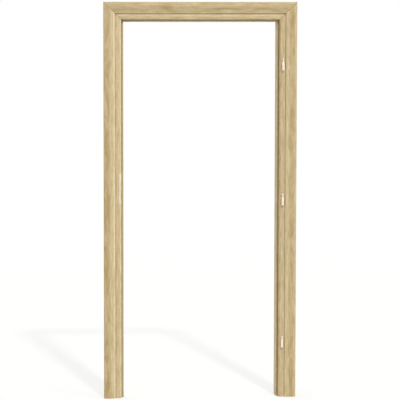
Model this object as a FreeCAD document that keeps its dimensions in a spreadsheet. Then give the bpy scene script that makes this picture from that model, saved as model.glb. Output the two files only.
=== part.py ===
# Rebated interior door frame for a single leaf, without the leaf. Millimetres.
# X runs across the opening, Y goes back through the wall and Z goes up. The origin is at floor level,
# in the middle of the frame's box. A member's section is drawn in two local sizes: "out" is measured
# outwards from the clear opening and "back" is measured backwards from the front architraves' face.
import FreeCAD, Part
import Sketcher
import math
import os

DRIVING = {
    # Opening and wall
    "clear_width": 800.0,
    "clear_height": 1970.0,
    "wall": 80.0,
    # Jamb section: a front block with the rebate, and a thinner panel that lines the wall
    "stop_width": 12.0,
    "rebate_depth": 28.0,
    "rebate_round": 4.0,
    "stop_round": 3.0,
    "band_width": 32.0,
    "band_recess": 10.0,
    "block_depth": 40.0,
    "panel_thick": 22.0,
    # Front architraves, with a leg that lies on the jamb's outer side
    "architrave_width": 60.0,
    "architrave_thick": 16.0,
    "inner_drop": 0.4,
    "outer_drop": 4.0,
    "crown_radius": 350.0,
    "architrave_round": 4.5,
    "leg_thick": 8.0,
    "leg_length": 30.0,
    # Rear trims, with a tongue in the jamb's groove
    "rear_width": 80.0,
    "rear_thick": 12.0,
    "rear_round": 4.0,
    "tongue_inset": 8.0,
    "tongue_thick": 6.0,
    "tongue_length": 34.0,
    "tongue_play": 0.3,
    "groove_spare": 6.0,
    # Seal in the rebate's corner
    "seal_width": 8.4,
    "seal_height": 5.0,
    "seal_wall": 1.3,
    "seal_bulge": 0.6,
    "seal_gap": 0.3,
    "stem_width": 2.6,
    "stem_length": 7.0,
    "stem_play": 0.2,
    # Pin hinges
    "hinge_top_drop": 209.0,
    "hinge_middle_drop": 913.0,
    "hinge_bottom_rise": 307.0,
    "hinge_inset": 20.0,
    "hinge_offset": 12.0,
    "barrel_radius": 7.0,
    "barrel_height": 43.0,
    "barrel_chamfer": 1.2,
    "pin_radius": 4.0,
    "pin_seat_radius": 4.3,
    "pin_neck_radius": 3.8,
    "pin_neck": 0.5,
    "pin_round": 3.0,
    "pin_proud": 20.0,
    "pin_seat": 21.0,
    "washer_radius": 6.3,
    "washer_thick": 1.5,
    "stud_radius": 4.0,
    "stud_drop": 29.0,
    "stud_play": 0.1,
    "collar_radius": 6.0,
    "collar_thick": 1.5,
    "anchor_width": 19.0,
    "anchor_height": 50.0,
    "anchor_thick": 8.0,
    "anchor_gap": 0.3,
    "anchor_screw_pitch": 34.0,
    # Strike plate
    "strike_line": 1103.0,
    "strike_height": 165.0,
    "strike_front": 12.0,
    "strike_side": 24.0,
    "strike_thick": 1.5,
    "strike_play": 0.2,
    "strike_bend": 2.0,
    "strike_corner": 3.0,
    "latch_rise": 39.0,
    "latch_height": 38.0,
    "bolt_drop": 39.0,
    "bolt_height": 46.0,
    "pocket_start": 6.0,
    "pocket_width": 15.0,
    "pocket_depth": 22.0,
    "strike_screw_pitch": 75.0,
    # Countersunk screws
    "screw_radius": 2.0,
    "screw_head_radius": 3.9,
    "screw_head_depth": 1.9,
    "screw_length": 22.0,
    "screw_tip": 4.0,
    "recess_width": 1.1,
    "recess_span": 4.4,
    "recess_depth": 1.1,
    # Corner joints
    "dowel_radius": 4.0,
    "dowel_length": 30.0,
    "dowel_chamfer": 0.8,
    "dowel_play": 1.0,
    "dowel_front": 10.0,
    "dowel_pitch": 21.0,
    "plate_margin": 1.0,
    "plate_leg": 90.0,
    "plate_thick": 2.5,
    "plate_screw_near": 40.0,
    "plate_screw_far": 75.0,
    "key_width": 14.0,
    "key_leg": 54.0,
    "key_thick": 3.0,
    "key_play": 0.2,
    "key_inset": 30.0,
}

doc = FreeCAD.newDocument("door_frame")
sheet = doc.addObject("Spreadsheet::Sheet", "Sizes")


class Size:
    """A length that carries its formula, for the document's bindings, beside its value."""

    def __init__(self, formula, value):
        self.formula = formula
        self.value = value

    @staticmethod
    def of(number):
        return number if isinstance(number, Size) else Size(f"({float(number)})", float(number))

    def __add__(self, other):
        other = Size.of(other)
        return Size(f"({self.formula} + {other.formula})", self.value + other.value)

    def __sub__(self, other):
        other = Size.of(other)
        return Size(f"({self.formula} - {other.formula})", self.value - other.value)

    def __mul__(self, factor):
        return Size(f"({self.formula} * {float(factor)})", self.value * factor)

    def __truediv__(self, divisor):
        return Size(f"({self.formula} / {float(divisor)})", self.value / divisor)

    def __neg__(self):
        return self * -1


def write_sheet():
    """Put the driving sizes into the sheet and hand them back as Size values."""
    sizes = {}
    for row, (name, number) in enumerate(DRIVING.items(), start=1):
        sheet.set(f"A{row}", name)
        sheet.set(f"B{row}", str(number))
        sheet.setAlias(f"B{row}", name)
        sizes[name] = Size(f"Sizes.{name}", number)
    doc.recompute()
    return sizes


S = write_sheet()
ZERO = Size.of(0)

# Places that several pieces share
HALF = S["clear_width"] / 2
TOP = S["clear_height"]
BAND_OUT = S["stop_width"] + S["band_width"]
LEG_OUT = BAND_OUT + S["leg_thick"]
REACH = BAND_OUT + S["architrave_width"]
BAND_BACK = S["band_recess"]
STOP_BACK = BAND_BACK + S["rebate_depth"]
BLOCK_BACK = BAND_BACK + S["block_depth"]
WALL_FRONT = S["architrave_thick"]
WALL_REAR = WALL_FRONT + S["wall"]
REAR_BACK = WALL_REAR + S["rear_thick"]
HINGE_OUT = S["stop_width"] + S["hinge_inset"]
HINGE_BACK = BAND_BACK - S["hinge_offset"]
FRONT_BACK = HINGE_BACK - S["barrel_radius"]
MIDDLE_BACK = (FRONT_BACK + REAR_BACK) / 2
PLATE_IN = S["panel_thick"] + S["plate_margin"]
PLATE_OUT = BAND_OUT - S["plate_margin"]
PLATE_MID = (PLATE_IN + PLATE_OUT) / 2
TINY = 0.01
OVERRUN = 5.0


def x_at(side, out):
    """X of a place that lies outwards from the clear opening, on the left (-1) or right (1)."""
    return (HALF + out) * side


def y_at(back):
    return back - MIDDLE_BACK


def z_at(out):
    return TOP + out


def new_body(label):
    body = doc.addObject("PartDesign::Body", label)
    body.Label = label
    return body


def new_sketch(body, name, role, away=None):
    """A sketch on one of the body's own planes, moved along the plane's normal by away."""
    plane = next(item for item in body.Origin.OriginFeatures if item.Role == role)
    sketch = body.newObject("Sketcher::SketchObject", f"{body.Name}_{name}")
    sketch.AttachmentSupport = [(plane, "")]
    sketch.MapMode = "FlatFace"
    if away is not None:
        sketch.setExpression(".AttachmentOffset.Base.z", away.formula)
    return sketch


def front_sketch(body, name, back):
    """A sketch in X and Z, at the given distance behind the architraves' face."""
    return new_sketch(body, name, "XZ_Plane", -y_at(back))


def bind(sketch, constraint, size):
    number = sketch.addConstraint(constraint)
    sketch.setExpression(f"Constraints[{number}]", size.formula)


def arc_between(start, end, radius, side):
    """An arc that leaves the chord to its left (1) or right (-1), and which of its ends comes first."""
    chord = end - start
    half = chord.Length / 2
    rise = radius - math.sqrt(max(radius ** 2 - half ** 2, 0.0))
    left = FreeCAD.Vector(-chord.y, chord.x, 0).normalize()
    middle = (start + end) / 2 + left * side * rise
    if side > 0:
        return Part.Arc(end, middle, start), (2, 1)
    return Part.Arc(start, middle, end), (1, 2)


def outline(sketch, points, arcs=None):
    """A closed outline through the points; arcs gives (radius, side) for an edge by its number."""
    arcs = arcs or {}
    corners = [(Size.of(across), Size.of(up)) for across, up in points]
    places = [FreeCAD.Vector(across.value, up.value, 0) for across, up in corners]
    first = sketch.GeometryCount
    ends = []
    for number, start in enumerate(places):
        end = places[(number + 1) % len(places)]
        if number in arcs:
            radius, side = arcs[number]
            shape, order = arc_between(start, end, radius.value, side)
        else:
            shape, order = Part.LineSegment(start, end), (1, 2)
        sketch.addGeometry(shape, False)
        ends.append(order)
    for number, (across, up) in enumerate(corners):
        here = first + number
        following = (number + 1) % len(corners)
        sketch.addConstraint(Sketcher.Constraint(
            "Coincident", here, ends[number][1], first + following, ends[following][0]))
        start = ends[number][0]
        bind(sketch, Sketcher.Constraint("DistanceX", -1, 1, here, start, across.value), across)
        bind(sketch, Sketcher.Constraint("DistanceY", -1, 1, here, start, up.value), up)
        if number in arcs:
            radius = arcs[number][0]
            bind(sketch, Sketcher.Constraint("Radius", here, radius.value), radius)


def rectangle(sketch, low, high):
    outline(sketch, [low, (high[0], low[1]), high, (low[0], high[1])])


def circle(sketch, across, up, radius):
    centre = FreeCAD.Vector(across.value, up.value, 0)
    number = sketch.addGeometry(Part.Circle(centre, FreeCAD.Vector(0, 0, 1), radius.value), False)
    bind(sketch, Sketcher.Constraint("DistanceX", -1, 1, number, 3, across.value), across)
    bind(sketch, Sketcher.Constraint("DistanceY", -1, 1, number, 3, up.value), up)
    bind(sketch, Sketcher.Constraint("Radius", number, radius.value), radius)


def pad(body, sketch, length, both_ways=False):
    feature = body.newObject("PartDesign::Pad", f"{sketch.Name}_pad")
    feature.Profile = sketch
    if both_ways:
        feature.SideType = "Symmetric"
    feature.setExpression("Length", length.formula)
    doc.recompute()
    return feature


def pocket(body, sketch, depth=None, toward_normal=False):
    """Cut the sketch's outline, to a depth or, with none, right through both ways."""
    before = body.Shape.Volume
    feature = body.newObject("PartDesign::Pocket", f"{sketch.Name}_cut")
    feature.Profile = sketch
    if depth is None:
        feature.SideType = "Two sides"
        feature.Type = feature.Type2 = "ThroughAll"
    else:
        feature.setExpression("Length", depth.formula)
        feature.Reversed = toward_normal
    doc.recompute()
    if body.Shape.Volume > before - TINY:
        raise RuntimeError(f"{feature.Name} cuts nothing")
    return feature


def revolve(body, sketch):
    feature = body.newObject("PartDesign::Revolution", f"{sketch.Name}_turned")
    feature.Profile = sketch
    feature.ReferenceAxis = (sketch, ["V_Axis"])
    feature.Angle = 360
    doc.recompute()
    return feature


def fillet(body, radius, touches):
    """Round every edge whose two ends both pass the test."""
    shape = body.Shape
    names = [
        f"Edge{number}" for number, edge in enumerate(shape.Edges, start=1)
        if all(touches(vertex.Point) for vertex in edge.Vertexes)
    ]
    if not names:
        raise RuntimeError(f"{body.Label} has no edge to round")
    base = body.Tip
    feature = body.newObject("PartDesign::Fillet", f"{body.Name}_round")
    feature.Base = (base, names)
    feature.setExpression("Radius", radius.formula)
    doc.recompute()
    return feature


def near(place, other):
    return abs(place - other.value) < TINY


def place_at(item, x, y, z, turn=None):
    """Bind an object's Placement; turn is (axis, degrees)."""
    if turn is not None:
        item.Placement = FreeCAD.Placement(FreeCAD.Vector(), FreeCAD.Rotation(turn[0], turn[1]))
    for letter, size in (("x", x), ("y", y), ("z", z)):
        item.setExpression(f".Placement.Base.{letter}", size.formula)


def drill(body, radius, depth, x, y, z, turn):
    """Subtract a cylinder that starts at x, y, z and runs along the turned Z axis."""
    feature = body.newObject("PartDesign::SubtractiveCylinder", f"{body.Name}_bore")
    feature.setExpression("Radius", radius.formula)
    feature.setExpression("Height", depth.formula)
    place_at(feature, x, y, z, turn)
    doc.recompute()


def countersink(body, x, y, z, turn):
    """Subtract a screw's seat: x, y, z is the middle of its head, turn takes -Z into the work."""
    into = FreeCAD.Rotation(turn[0], turn[1])
    upside_down = into.multiply(FreeCAD.Rotation(FreeCAD.Vector(1, 0, 0), 180))
    turned = (upside_down.Axis, math.degrees(upside_down.Angle))
    cone = body.newObject("PartDesign::SubtractiveCone", f"{body.Name}_seat")
    cone.setExpression("Radius1", S["screw_head_radius"].formula)
    cone.setExpression("Radius2", S["screw_radius"].formula)
    cone.setExpression("Height", S["screw_head_depth"].formula)
    place_at(cone, x, y, z, turned)
    drill(body, S["screw_radius"], S["screw_length"], x, y, z, turned)


class Upright:
    """Draws on the floor plan, on the left (-1) or right (1), and runs up to the mitre."""

    def __init__(self, side):
        self.side = side
        self.role = "XY_Plane"

    def point(self, out, back):
        return x_at(self.side, Size.of(out)), y_at(Size.of(back))

    def bow(self, hand):
        return hand * self.side

    def run(self, body, sketch, reach):
        pad(body, sketch, z_at(reach))

    def along(self, out, back):
        """Test for the ends of the long edge at one place of the section."""
        x, y = self.point(out, back)
        return lambda point: near(point.x, x) and near(point.y, y)

    def mitre(self, body, inner, reach):
        cut = new_sketch(body, "mitre", "XZ_Plane")
        low, high = inner - OVERRUN, reach + OVERRUN
        outline(cut, [
            (x_at(self.side, low), z_at(low)),
            (x_at(self.side, high), z_at(high)),
            (x_at(self.side, low), z_at(high)),
        ])
        pocket(body, cut)


class Head:
    """Draws on the side plane and runs across the opening between both mitres."""

    role = "YZ_Plane"

    def point(self, out, back):
        return y_at(Size.of(back)), z_at(Size.of(out))

    def bow(self, hand):
        return -hand

    def run(self, body, sketch, reach):
        pad(body, sketch, x_at(1, reach) * 2, both_ways=True)

    def along(self, out, back):
        y, z = self.point(out, back)
        return lambda point: near(point.y, y) and near(point.z, z)

    def mitre(self, body, inner, reach):
        cut = new_sketch(body, "mitre", "XZ_Plane")
        low, high = inner - OVERRUN, reach + OVERRUN
        for side in (-1, 1):
            outline(cut, [
                (x_at(side, low), z_at(low)),
                (x_at(side, high), z_at(high)),
                (x_at(side, high), z_at(low)),
            ])
        pocket(body, cut)


LEFT, RIGHT, HEAD = Upright(-1), Upright(1), Head()


def member(label, run, points, reach, inner=ZERO, arcs=None, rounds=()):
    """A long piece: its section is drawn, run out, rounded and mitred."""
    body = new_body(label)
    section = new_sketch(body, "section", run.role)
    bows = {edge: (radius, run.bow(hand)) for edge, (radius, hand) in (arcs or {}).items()}
    outline(section, [run.point(out, back) for out, back in points], bows)
    run.run(body, section, reach)
    for radius, places in rounds:
        tests = [run.along(out, back) for out, back in places]
        fillet(body, radius, lambda point: any(test(point) for test in tests))
    run.mitre(body, inner, reach)
    return body


def jamb(label, run):
    """Front block with the rebate, panel behind it, and grooves for the seal and the rear tongue."""
    kerf_mid = S["stop_width"] - S["seal_gap"] - S["seal_width"] / 2
    kerf_half = S["stem_width"] / 2 + S["stem_play"]
    kerf_back = STOP_BACK + S["stem_length"] + S["stem_play"] * 2
    groove_in = S["tongue_inset"] - S["tongue_play"]
    groove_out = S["tongue_inset"] + S["tongue_thick"] + S["tongue_play"]
    groove_back = WALL_REAR - S["tongue_length"] - S["groove_spare"]
    points = [
        (S["stop_width"], BAND_BACK), (BAND_OUT, BAND_BACK),
        (BAND_OUT, BLOCK_BACK), (S["panel_thick"], BLOCK_BACK),
        (S["panel_thick"], WALL_REAR), (groove_out, WALL_REAR),
        (groove_out, groove_back), (groove_in, groove_back),
        (groove_in, WALL_REAR), (ZERO, WALL_REAR), (ZERO, STOP_BACK),
        (kerf_mid - kerf_half, STOP_BACK), (kerf_mid - kerf_half, kerf_back),
        (kerf_mid + kerf_half, kerf_back), (kerf_mid + kerf_half, STOP_BACK),
        (S["stop_width"], STOP_BACK),
    ]
    rounds = [
        (S["rebate_round"], [(S["stop_width"], BAND_BACK)]),
        (S["stop_round"], [(ZERO, STOP_BACK)]),
    ]
    return member(label, run, points, BAND_OUT, rounds=rounds)


def architrave(label, run):
    """Angular front architrave: a crowned face, and a leg glued to the jamb's outer side."""
    leg_back = WALL_FRONT + S["leg_length"]
    points = [
        (BAND_OUT, S["inner_drop"]), (REACH, S["outer_drop"]), (REACH, WALL_FRONT),
        (LEG_OUT, WALL_FRONT), (LEG_OUT, leg_back), (BAND_OUT, leg_back),
    ]
    rounds = [(S["architrave_round"], [(BAND_OUT, S["inner_drop"]), (REACH, S["outer_drop"])])]
    return member(label, run, points, REACH, BAND_OUT, {0: (S["crown_radius"], -1)}, rounds)


def rear_trim(label, run):
    """Rear trim with rounded back corners and a tongue that slides in the jamb's groove."""
    tongue_out = S["tongue_inset"] + S["tongue_thick"]
    tongue_back = WALL_REAR - S["tongue_length"]
    points = [
        (ZERO, WALL_REAR), (S["tongue_inset"], WALL_REAR), (S["tongue_inset"], tongue_back),
        (tongue_out, tongue_back), (tongue_out, WALL_REAR), (S["rear_width"], WALL_REAR),
        (S["rear_width"], REAR_BACK), (ZERO, REAR_BACK),
    ]
    rounds = [(S["rear_round"], [(ZERO, REAR_BACK), (S["rear_width"], REAR_BACK)])]
    return member(label, run, points, S["rear_width"], rounds=rounds)


def seal(label, run):
    """Hollow D-shaped bulb on the stop's face, with a stem pushed into the stop's kerf."""
    high = S["stop_width"] - S["seal_gap"]
    low = high - S["seal_width"]
    middle = (low + high) / 2
    half_stem = S["stem_width"] / 2
    bulb_radius = S["seal_width"] / 2 + S["seal_bulge"]
    body = new_body(label)
    section = new_sketch(body, "section", run.role)
    crest = STOP_BACK - S["seal_height"]
    wall = S["seal_wall"]
    outer = [
        (low, STOP_BACK), (low, STOP_BACK - wall), (middle, crest), (high, STOP_BACK - wall),
        (high, STOP_BACK), (middle + half_stem, STOP_BACK),
        (middle + half_stem, STOP_BACK + S["stem_length"]),
        (middle - half_stem, STOP_BACK + S["stem_length"]), (middle - half_stem, STOP_BACK),
    ]
    bow = run.bow(-1)
    outline(section, [run.point(out, back) for out, back in outer],
            {1: (bulb_radius, bow), 2: (bulb_radius, bow)})
    hollow = [
        (low + wall, STOP_BACK - wall), (middle, crest + wall), (high - wall, STOP_BACK - wall),
    ]
    outline(section, [run.point(out, back) for out, back in hollow],
            {0: (bulb_radius - wall, bow), 1: (bulb_radius - wall, bow)})
    run.run(body, section, high)
    run.mitre(body, ZERO, high)
    return body


def corner_outline(sketch, side, inner, outer, leg, grow=ZERO):
    """An L round a top corner, between two lines that follow the members; leg is its length."""
    low, high, end = inner - grow, outer + grow, outer - leg - grow
    outline(sketch, [
        (x_at(side, high), z_at(high)), (x_at(side, high), z_at(end)),
        (x_at(side, low), z_at(end)), (x_at(side, low), z_at(low)),
        (x_at(side, end), z_at(low)), (x_at(side, end), z_at(high)),
    ])


KEY_OUT = {"architrave": REACH - S["key_inset"], "rear": S["rear_width"] - S["key_inset"]}
KEY_BACK = {"architrave": WALL_FRONT, "rear": WALL_REAR}
KEY_CUTS_FORWARD = {"architrave": True, "rear": False}


def key_lines(kind):
    return KEY_OUT[kind] - S["key_width"] / 2, KEY_OUT[kind] + S["key_width"] / 2


def key_recess(body, kind, sides):
    """Sink a corner key's seat into a member's hidden face."""
    inner, outer = key_lines(kind)
    for side in sides:
        cut = front_sketch(body, "key_seat", KEY_BACK[kind])
        corner_outline(cut, side, inner, outer, S["key_leg"], S["key_play"])
        pocket(body, cut, S["key_thick"], toward_normal=KEY_CUTS_FORWARD[kind])


def corner_key(label, kind, side):
    """Flat L-shaped key that holds two mitred trims together."""
    body = new_body(label)
    inner, outer = key_lines(kind)
    face = front_sketch(body, "face", KEY_BACK[kind])
    corner_outline(face, side, inner, outer, S["key_leg"])
    feature = pad(body, face, S["key_thick"])
    feature.Reversed = not KEY_CUTS_FORWARD[kind]
    doc.recompute()
    return body


X_AXIS, Y_AXIS, Z_AXIS = (FreeCAD.Vector(*axis) for axis in ((1, 0, 0), (0, 1, 0), (0, 0, 1)))
HEAD_TO_REAR = (X_AXIS, -90)
HEAD_TO_OPENING = (Y_AXIS, 90)


def screw(name, x, y, z, turn):
    """Countersunk screw with a pointed end and a cross recess, its head's face at x, y, z."""
    body = doc.addObject("PartDesign::Body", name)
    profile = new_sketch(body, "profile", "XZ_Plane")
    tip_start = S["screw_tip"] - S["screw_length"]
    outline(profile, [
        (ZERO, ZERO), (S["screw_head_radius"], ZERO),
        (S["screw_radius"], -S["screw_head_depth"]), (S["screw_radius"], tip_start),
        (ZERO, -S["screw_length"]),
    ])
    revolve(body, profile)
    recess = new_sketch(body, "recess", "XY_Plane")
    arm, half = S["recess_span"] / 2, S["recess_width"] / 2
    outline(recess, [
        (arm, -half), (arm, half), (half, half), (half, arm), (-half, arm), (-half, half),
        (-arm, half), (-arm, -half), (-half, -half), (-half, -arm), (half, -arm), (half, -half),
    ])
    pocket(body, recess, S["recess_depth"])
    place_at(body, x, y, z, turn)
    return body


def group(label, members):
    """One sub-part made of several like solids."""
    item = doc.addObject("Part::Compound", label)
    item.Label = label
    item.Links = members
    doc.recompute()
    return item


def plate_screw_places(side):
    """Screw places of a corner plate: two down the jamb and two along the head."""
    places = []
    for distance in (S["plate_screw_near"], S["plate_screw_far"]):
        end = PLATE_OUT - distance
        places.append((x_at(side, PLATE_MID), z_at(end)))
        places.append((x_at(side, end), z_at(PLATE_MID)))
    return places


def dowel_turn(side):
    """Turns Z square to the mitre, from the jamb into the head."""
    return (Y_AXIS, -45 * side)


def dowel_backs():
    first = BAND_BACK + S["dowel_front"]
    return first, first + S["dowel_pitch"]


def dowel_start(side, length):
    """Lower end of a dowel of the given length, centred on the mitre in the front block."""
    middle = (S["stop_width"] + BAND_OUT) / 2
    step = length * math.sqrt(0.5) / 2
    return x_at(side, middle + step), z_at(middle - step)


def corner_holes(body, sides):
    """Dowel holes in the mitred ends of a jamb or of the head."""
    length = S["dowel_length"] + S["dowel_play"] * 2
    for side in sides:
        x, z = dowel_start(side, length)
        for back in dowel_backs():
            drill(body, S["dowel_radius"], length, x, y_at(back), z, dowel_turn(side))


def screw_pilots(body, places, face_back):
    """Holes for the shanks of screws whose heads lie at face_back, one cut for all."""
    holes = front_sketch(body, "pilots", face_back)
    for x, z in places:
        circle(holes, x, z, S["screw_radius"])
    pocket(body, holes, S["screw_length"], toward_normal=True)


PLATE_FACE = BLOCK_BACK + S["plate_thick"]
ANCHOR_FACE = BLOCK_BACK + S["anchor_thick"]
HINGES = {
    "top": TOP - S["hinge_top_drop"],
    "middle": TOP - S["hinge_middle_drop"],
    "bottom": S["hinge_bottom_rise"],
}


def stud_height(line):
    return line - S["stud_drop"]


def anchor_screw_places(line):
    half = S["anchor_screw_pitch"] / 2
    x = x_at(1, HINGE_OUT)
    return [(x, stud_height(line) + half), (x, stud_height(line) - half)]


def finish_hinge_jamb(body):
    """Stud holes through the block, and pilots for the anchors' screws."""
    holes = new_sketch(body, "stud_holes", "XZ_Plane")
    for line in HINGES.values():
        circle(holes, x_at(1, HINGE_OUT), stud_height(line), S["stud_radius"] + S["stud_play"])
    pocket(body, holes)
    places = [place for line in HINGES.values() for place in anchor_screw_places(line)]
    screw_pilots(body, places, ANCHOR_FACE)


def hinge(name, line):
    """Frame half of a pin hinge, with its stud, its anchor behind the block and the screws."""
    x, y, bottom = x_at(1, HINGE_OUT), y_at(HINGE_BACK), line - S["barrel_height"]
    chamfer = S["barrel_chamfer"]

    barrel = new_body(f"hinge_{name}_barrel")
    profile = new_sketch(barrel, "profile", "XZ_Plane")
    seat = S["barrel_height"] - S["pin_seat"]
    outline(profile, [
        (ZERO, ZERO), (S["barrel_radius"] - chamfer, ZERO), (S["barrel_radius"], chamfer),
        (S["barrel_radius"], S["barrel_height"] - chamfer),
        (S["barrel_radius"] - chamfer, S["barrel_height"]),
        (S["pin_seat_radius"], S["barrel_height"]), (S["pin_seat_radius"], seat), (ZERO, seat),
    ])
    revolve(barrel, profile)
    bore = new_sketch(barrel, "stud_bore", "XZ_Plane")
    circle(bore, ZERO, S["barrel_height"] - S["stud_drop"], S["stud_radius"])
    pocket(barrel, bore, S["barrel_radius"] + OVERRUN)
    place_at(barrel, x, y, bottom)

    pin = new_body(f"hinge_{name}_pin")
    profile = new_sketch(pin, "profile", "XZ_Plane")
    length = S["pin_seat"] + S["pin_proud"]
    neck = S["pin_seat"] + S["washer_thick"]
    outline(profile, [
        (ZERO, ZERO), (S["pin_seat_radius"], ZERO), (S["pin_seat_radius"], neck),
        (S["pin_neck_radius"], neck), (S["pin_neck_radius"], neck + S["pin_neck"]),
        (S["pin_radius"], neck + S["pin_neck"]), (S["pin_radius"], length), (ZERO, length),
    ])
    revolve(pin, profile)
    fillet(pin, S["pin_round"], lambda point: near(point.z, length))
    place_at(pin, x, y, bottom + seat)

    washer = new_body(f"hinge_{name}_washer")
    ring = new_sketch(washer, "ring", "XY_Plane")
    circle(ring, ZERO, ZERO, S["washer_radius"])
    circle(ring, ZERO, ZERO, S["pin_seat_radius"])
    pad(washer, ring, S["washer_thick"])
    place_at(washer, x, y, line)

    stud = new_body(f"hinge_{name}_stud")
    profile = new_sketch(stud, "profile", "XZ_Plane")
    length = ANCHOR_FACE - HINGE_BACK
    collar = S["hinge_offset"] - S["collar_thick"]
    outline(profile, [
        (ZERO, ZERO), (S["stud_radius"], ZERO), (S["stud_radius"], collar),
        (S["collar_radius"], collar), (S["collar_radius"], S["hinge_offset"]),
        (S["stud_radius"], S["hinge_offset"]), (S["stud_radius"], length - chamfer),
        (S["stud_radius"] - chamfer, length), (ZERO, length),
    ])
    revolve(stud, profile)
    place_at(stud, x, y, stud_height(line), (X_AXIS, -90))

    anchor = new_body(f"hinge_{name}_anchor")
    face = front_sketch(anchor, "face", BLOCK_BACK)
    half, inner = S["anchor_height"] / 2, S["panel_thick"] + S["anchor_gap"]
    rectangle(face, (x_at(1, inner), stud_height(line) - half),
              (x_at(1, inner + S["anchor_width"]), stud_height(line) + half))
    circle(face, x, stud_height(line), S["stud_radius"])
    pad(anchor, face, S["anchor_thick"]).Reversed = True
    doc.recompute()
    screws = []
    for number, (screw_x, screw_z) in enumerate(anchor_screw_places(line), start=1):
        countersink(anchor, screw_x, y_at(ANCHOR_FACE), screw_z, HEAD_TO_REAR)
        screws.append(screw(f"hinge_{name}_screw_{number}",
                            screw_x, y_at(ANCHOR_FACE), screw_z, HEAD_TO_REAR))
    return [barrel, pin, washer, stud, anchor, group(f"hinge_{name}_screws", screws)]


STRIKE_LOW = S["strike_line"] - S["strike_height"] / 2
STRIKE_HIGH = S["strike_line"] + S["strike_height"] / 2
STRIKE_MIDDLE_BACK = BAND_BACK + S["pocket_start"] + S["pocket_width"] / 2
STRIKE_HOLES = (
    (S["strike_line"] + S["latch_rise"], S["latch_height"]),
    (S["strike_line"] - S["bolt_drop"], S["bolt_height"]),
)


def strike_windows(sketch):
    """Outlines of the latch and bolt holes, in Y and Z."""
    front = BAND_BACK + S["pocket_start"]
    for middle, height in STRIKE_HOLES:
        rectangle(sketch, (y_at(front), middle - height / 2),
                  (y_at(front + S["pocket_width"]), middle + height / 2))


def strike_screw_heights():
    pitch = S["strike_screw_pitch"]
    return [S["strike_line"] - pitch, S["strike_line"], S["strike_line"] + pitch]


def finish_strike_jamb(body):
    """Seat for both legs of the strike plate, pockets behind its holes, and its screws' seats."""
    play = S["strike_play"]
    low, high = STRIKE_LOW - play, STRIKE_HIGH + play
    face = front_sketch(body, "strike_front", BAND_BACK)
    rectangle(face, (x_at(-1, S["stop_width"] + S["strike_front"] + play), low),
              (x_at(-1, ZERO), high))
    pocket(body, face, S["strike_thick"])
    side = new_sketch(body, "strike_side", "YZ_Plane", x_at(-1, S["stop_width"]))
    rectangle(side, (y_at(BAND_BACK) - OVERRUN, low),
              (y_at(BAND_BACK + S["strike_side"] + play), high))
    pocket(body, side, S["strike_thick"])
    holes = new_sketch(body, "strike_pockets", "YZ_Plane", x_at(-1, S["stop_width"]))
    strike_windows(holes)
    pocket(body, holes, S["pocket_depth"])
    for z in strike_screw_heights():
        countersink(body, x_at(-1, S["stop_width"]), y_at(STRIKE_MIDDLE_BACK), z, HEAD_TO_OPENING)


def strike_plate(label):
    """Folded steel angle with latch and bolt holes in its side leg."""
    body = new_body(label)
    thick, inner = S["strike_thick"], S["stop_width"]
    section = new_sketch(body, "section", "XY_Plane", STRIKE_LOW)
    points = [
        (inner, BAND_BACK), (inner + S["strike_front"], BAND_BACK),
        (inner + S["strike_front"], BAND_BACK + thick), (inner + thick, BAND_BACK + thick),
        (inner + thick, BAND_BACK + S["strike_side"]), (inner, BAND_BACK + S["strike_side"]),
    ]
    outline(section, [(x_at(-1, out), y_at(back)) for out, back in points])
    pad(body, section, S["strike_height"])
    bend_x, bend_y = x_at(-1, inner), y_at(BAND_BACK)
    fillet(body, S["strike_bend"], lambda point: near(point.x, bend_x) and near(point.y, bend_y))
    side_y, front_x = y_at(BAND_BACK + S["strike_side"]), x_at(-1, inner + S["strike_front"])
    for end in (STRIKE_LOW, STRIKE_HIGH):
        fillet(body, S["strike_corner"], lambda point: near(point.z, end) and near(point.y, side_y))
        fillet(body, S["strike_corner"], lambda point: near(point.z, end) and near(point.x, front_x))
    holes = new_sketch(body, "holes", "YZ_Plane", x_at(-1, inner))
    strike_windows(holes)
    pocket(body, holes, S["pocket_depth"])
    screws = []
    for number, z in enumerate(strike_screw_heights(), start=1):
        x, y = x_at(-1, inner), y_at(STRIKE_MIDDLE_BACK)
        countersink(body, x, y, z, HEAD_TO_OPENING)
        screws.append(screw(f"strike_screw_{number}", x, y, z, HEAD_TO_OPENING))
    return [body, group("strike_plate_screws", screws)]


def corner_plate(name, side):
    """Flat steel L on the rear of the front block, its four screws and the mitre's two dowels."""
    plate = new_body(f"{name}_corner_plate")
    face = front_sketch(plate, "face", BLOCK_BACK)
    corner_outline(face, side, PLATE_IN, PLATE_OUT, S["plate_leg"])
    pad(plate, face, S["plate_thick"]).Reversed = True
    doc.recompute()
    screws = []
    for number, (x, z) in enumerate(plate_screw_places(side), start=1):
        countersink(plate, x, y_at(PLATE_FACE), z, HEAD_TO_REAR)
        screws.append(screw(f"{name}_corner_screw_{number}", x, y_at(PLATE_FACE), z, HEAD_TO_REAR))
    dowels = []
    x, z = dowel_start(side, S["dowel_length"])
    for number, back in enumerate(dowel_backs(), start=1):
        dowel = doc.addObject("PartDesign::Body", f"{name}_corner_dowel_{number}")
        profile = new_sketch(dowel, "profile", "XZ_Plane")
        radius, chamfer, length = S["dowel_radius"], S["dowel_chamfer"], S["dowel_length"]
        outline(profile, [
            (ZERO, ZERO), (radius - chamfer, ZERO), (radius, chamfer),
            (radius, length - chamfer), (radius - chamfer, length), (ZERO, length),
        ])
        revolve(dowel, profile)
        place_at(dowel, x, y_at(back), z, dowel_turn(side))
        dowels.append(dowel)
    return [plate, group(f"{name}_corner_screws", screws), group(f"{name}_corner_dowels", dowels)]


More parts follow.
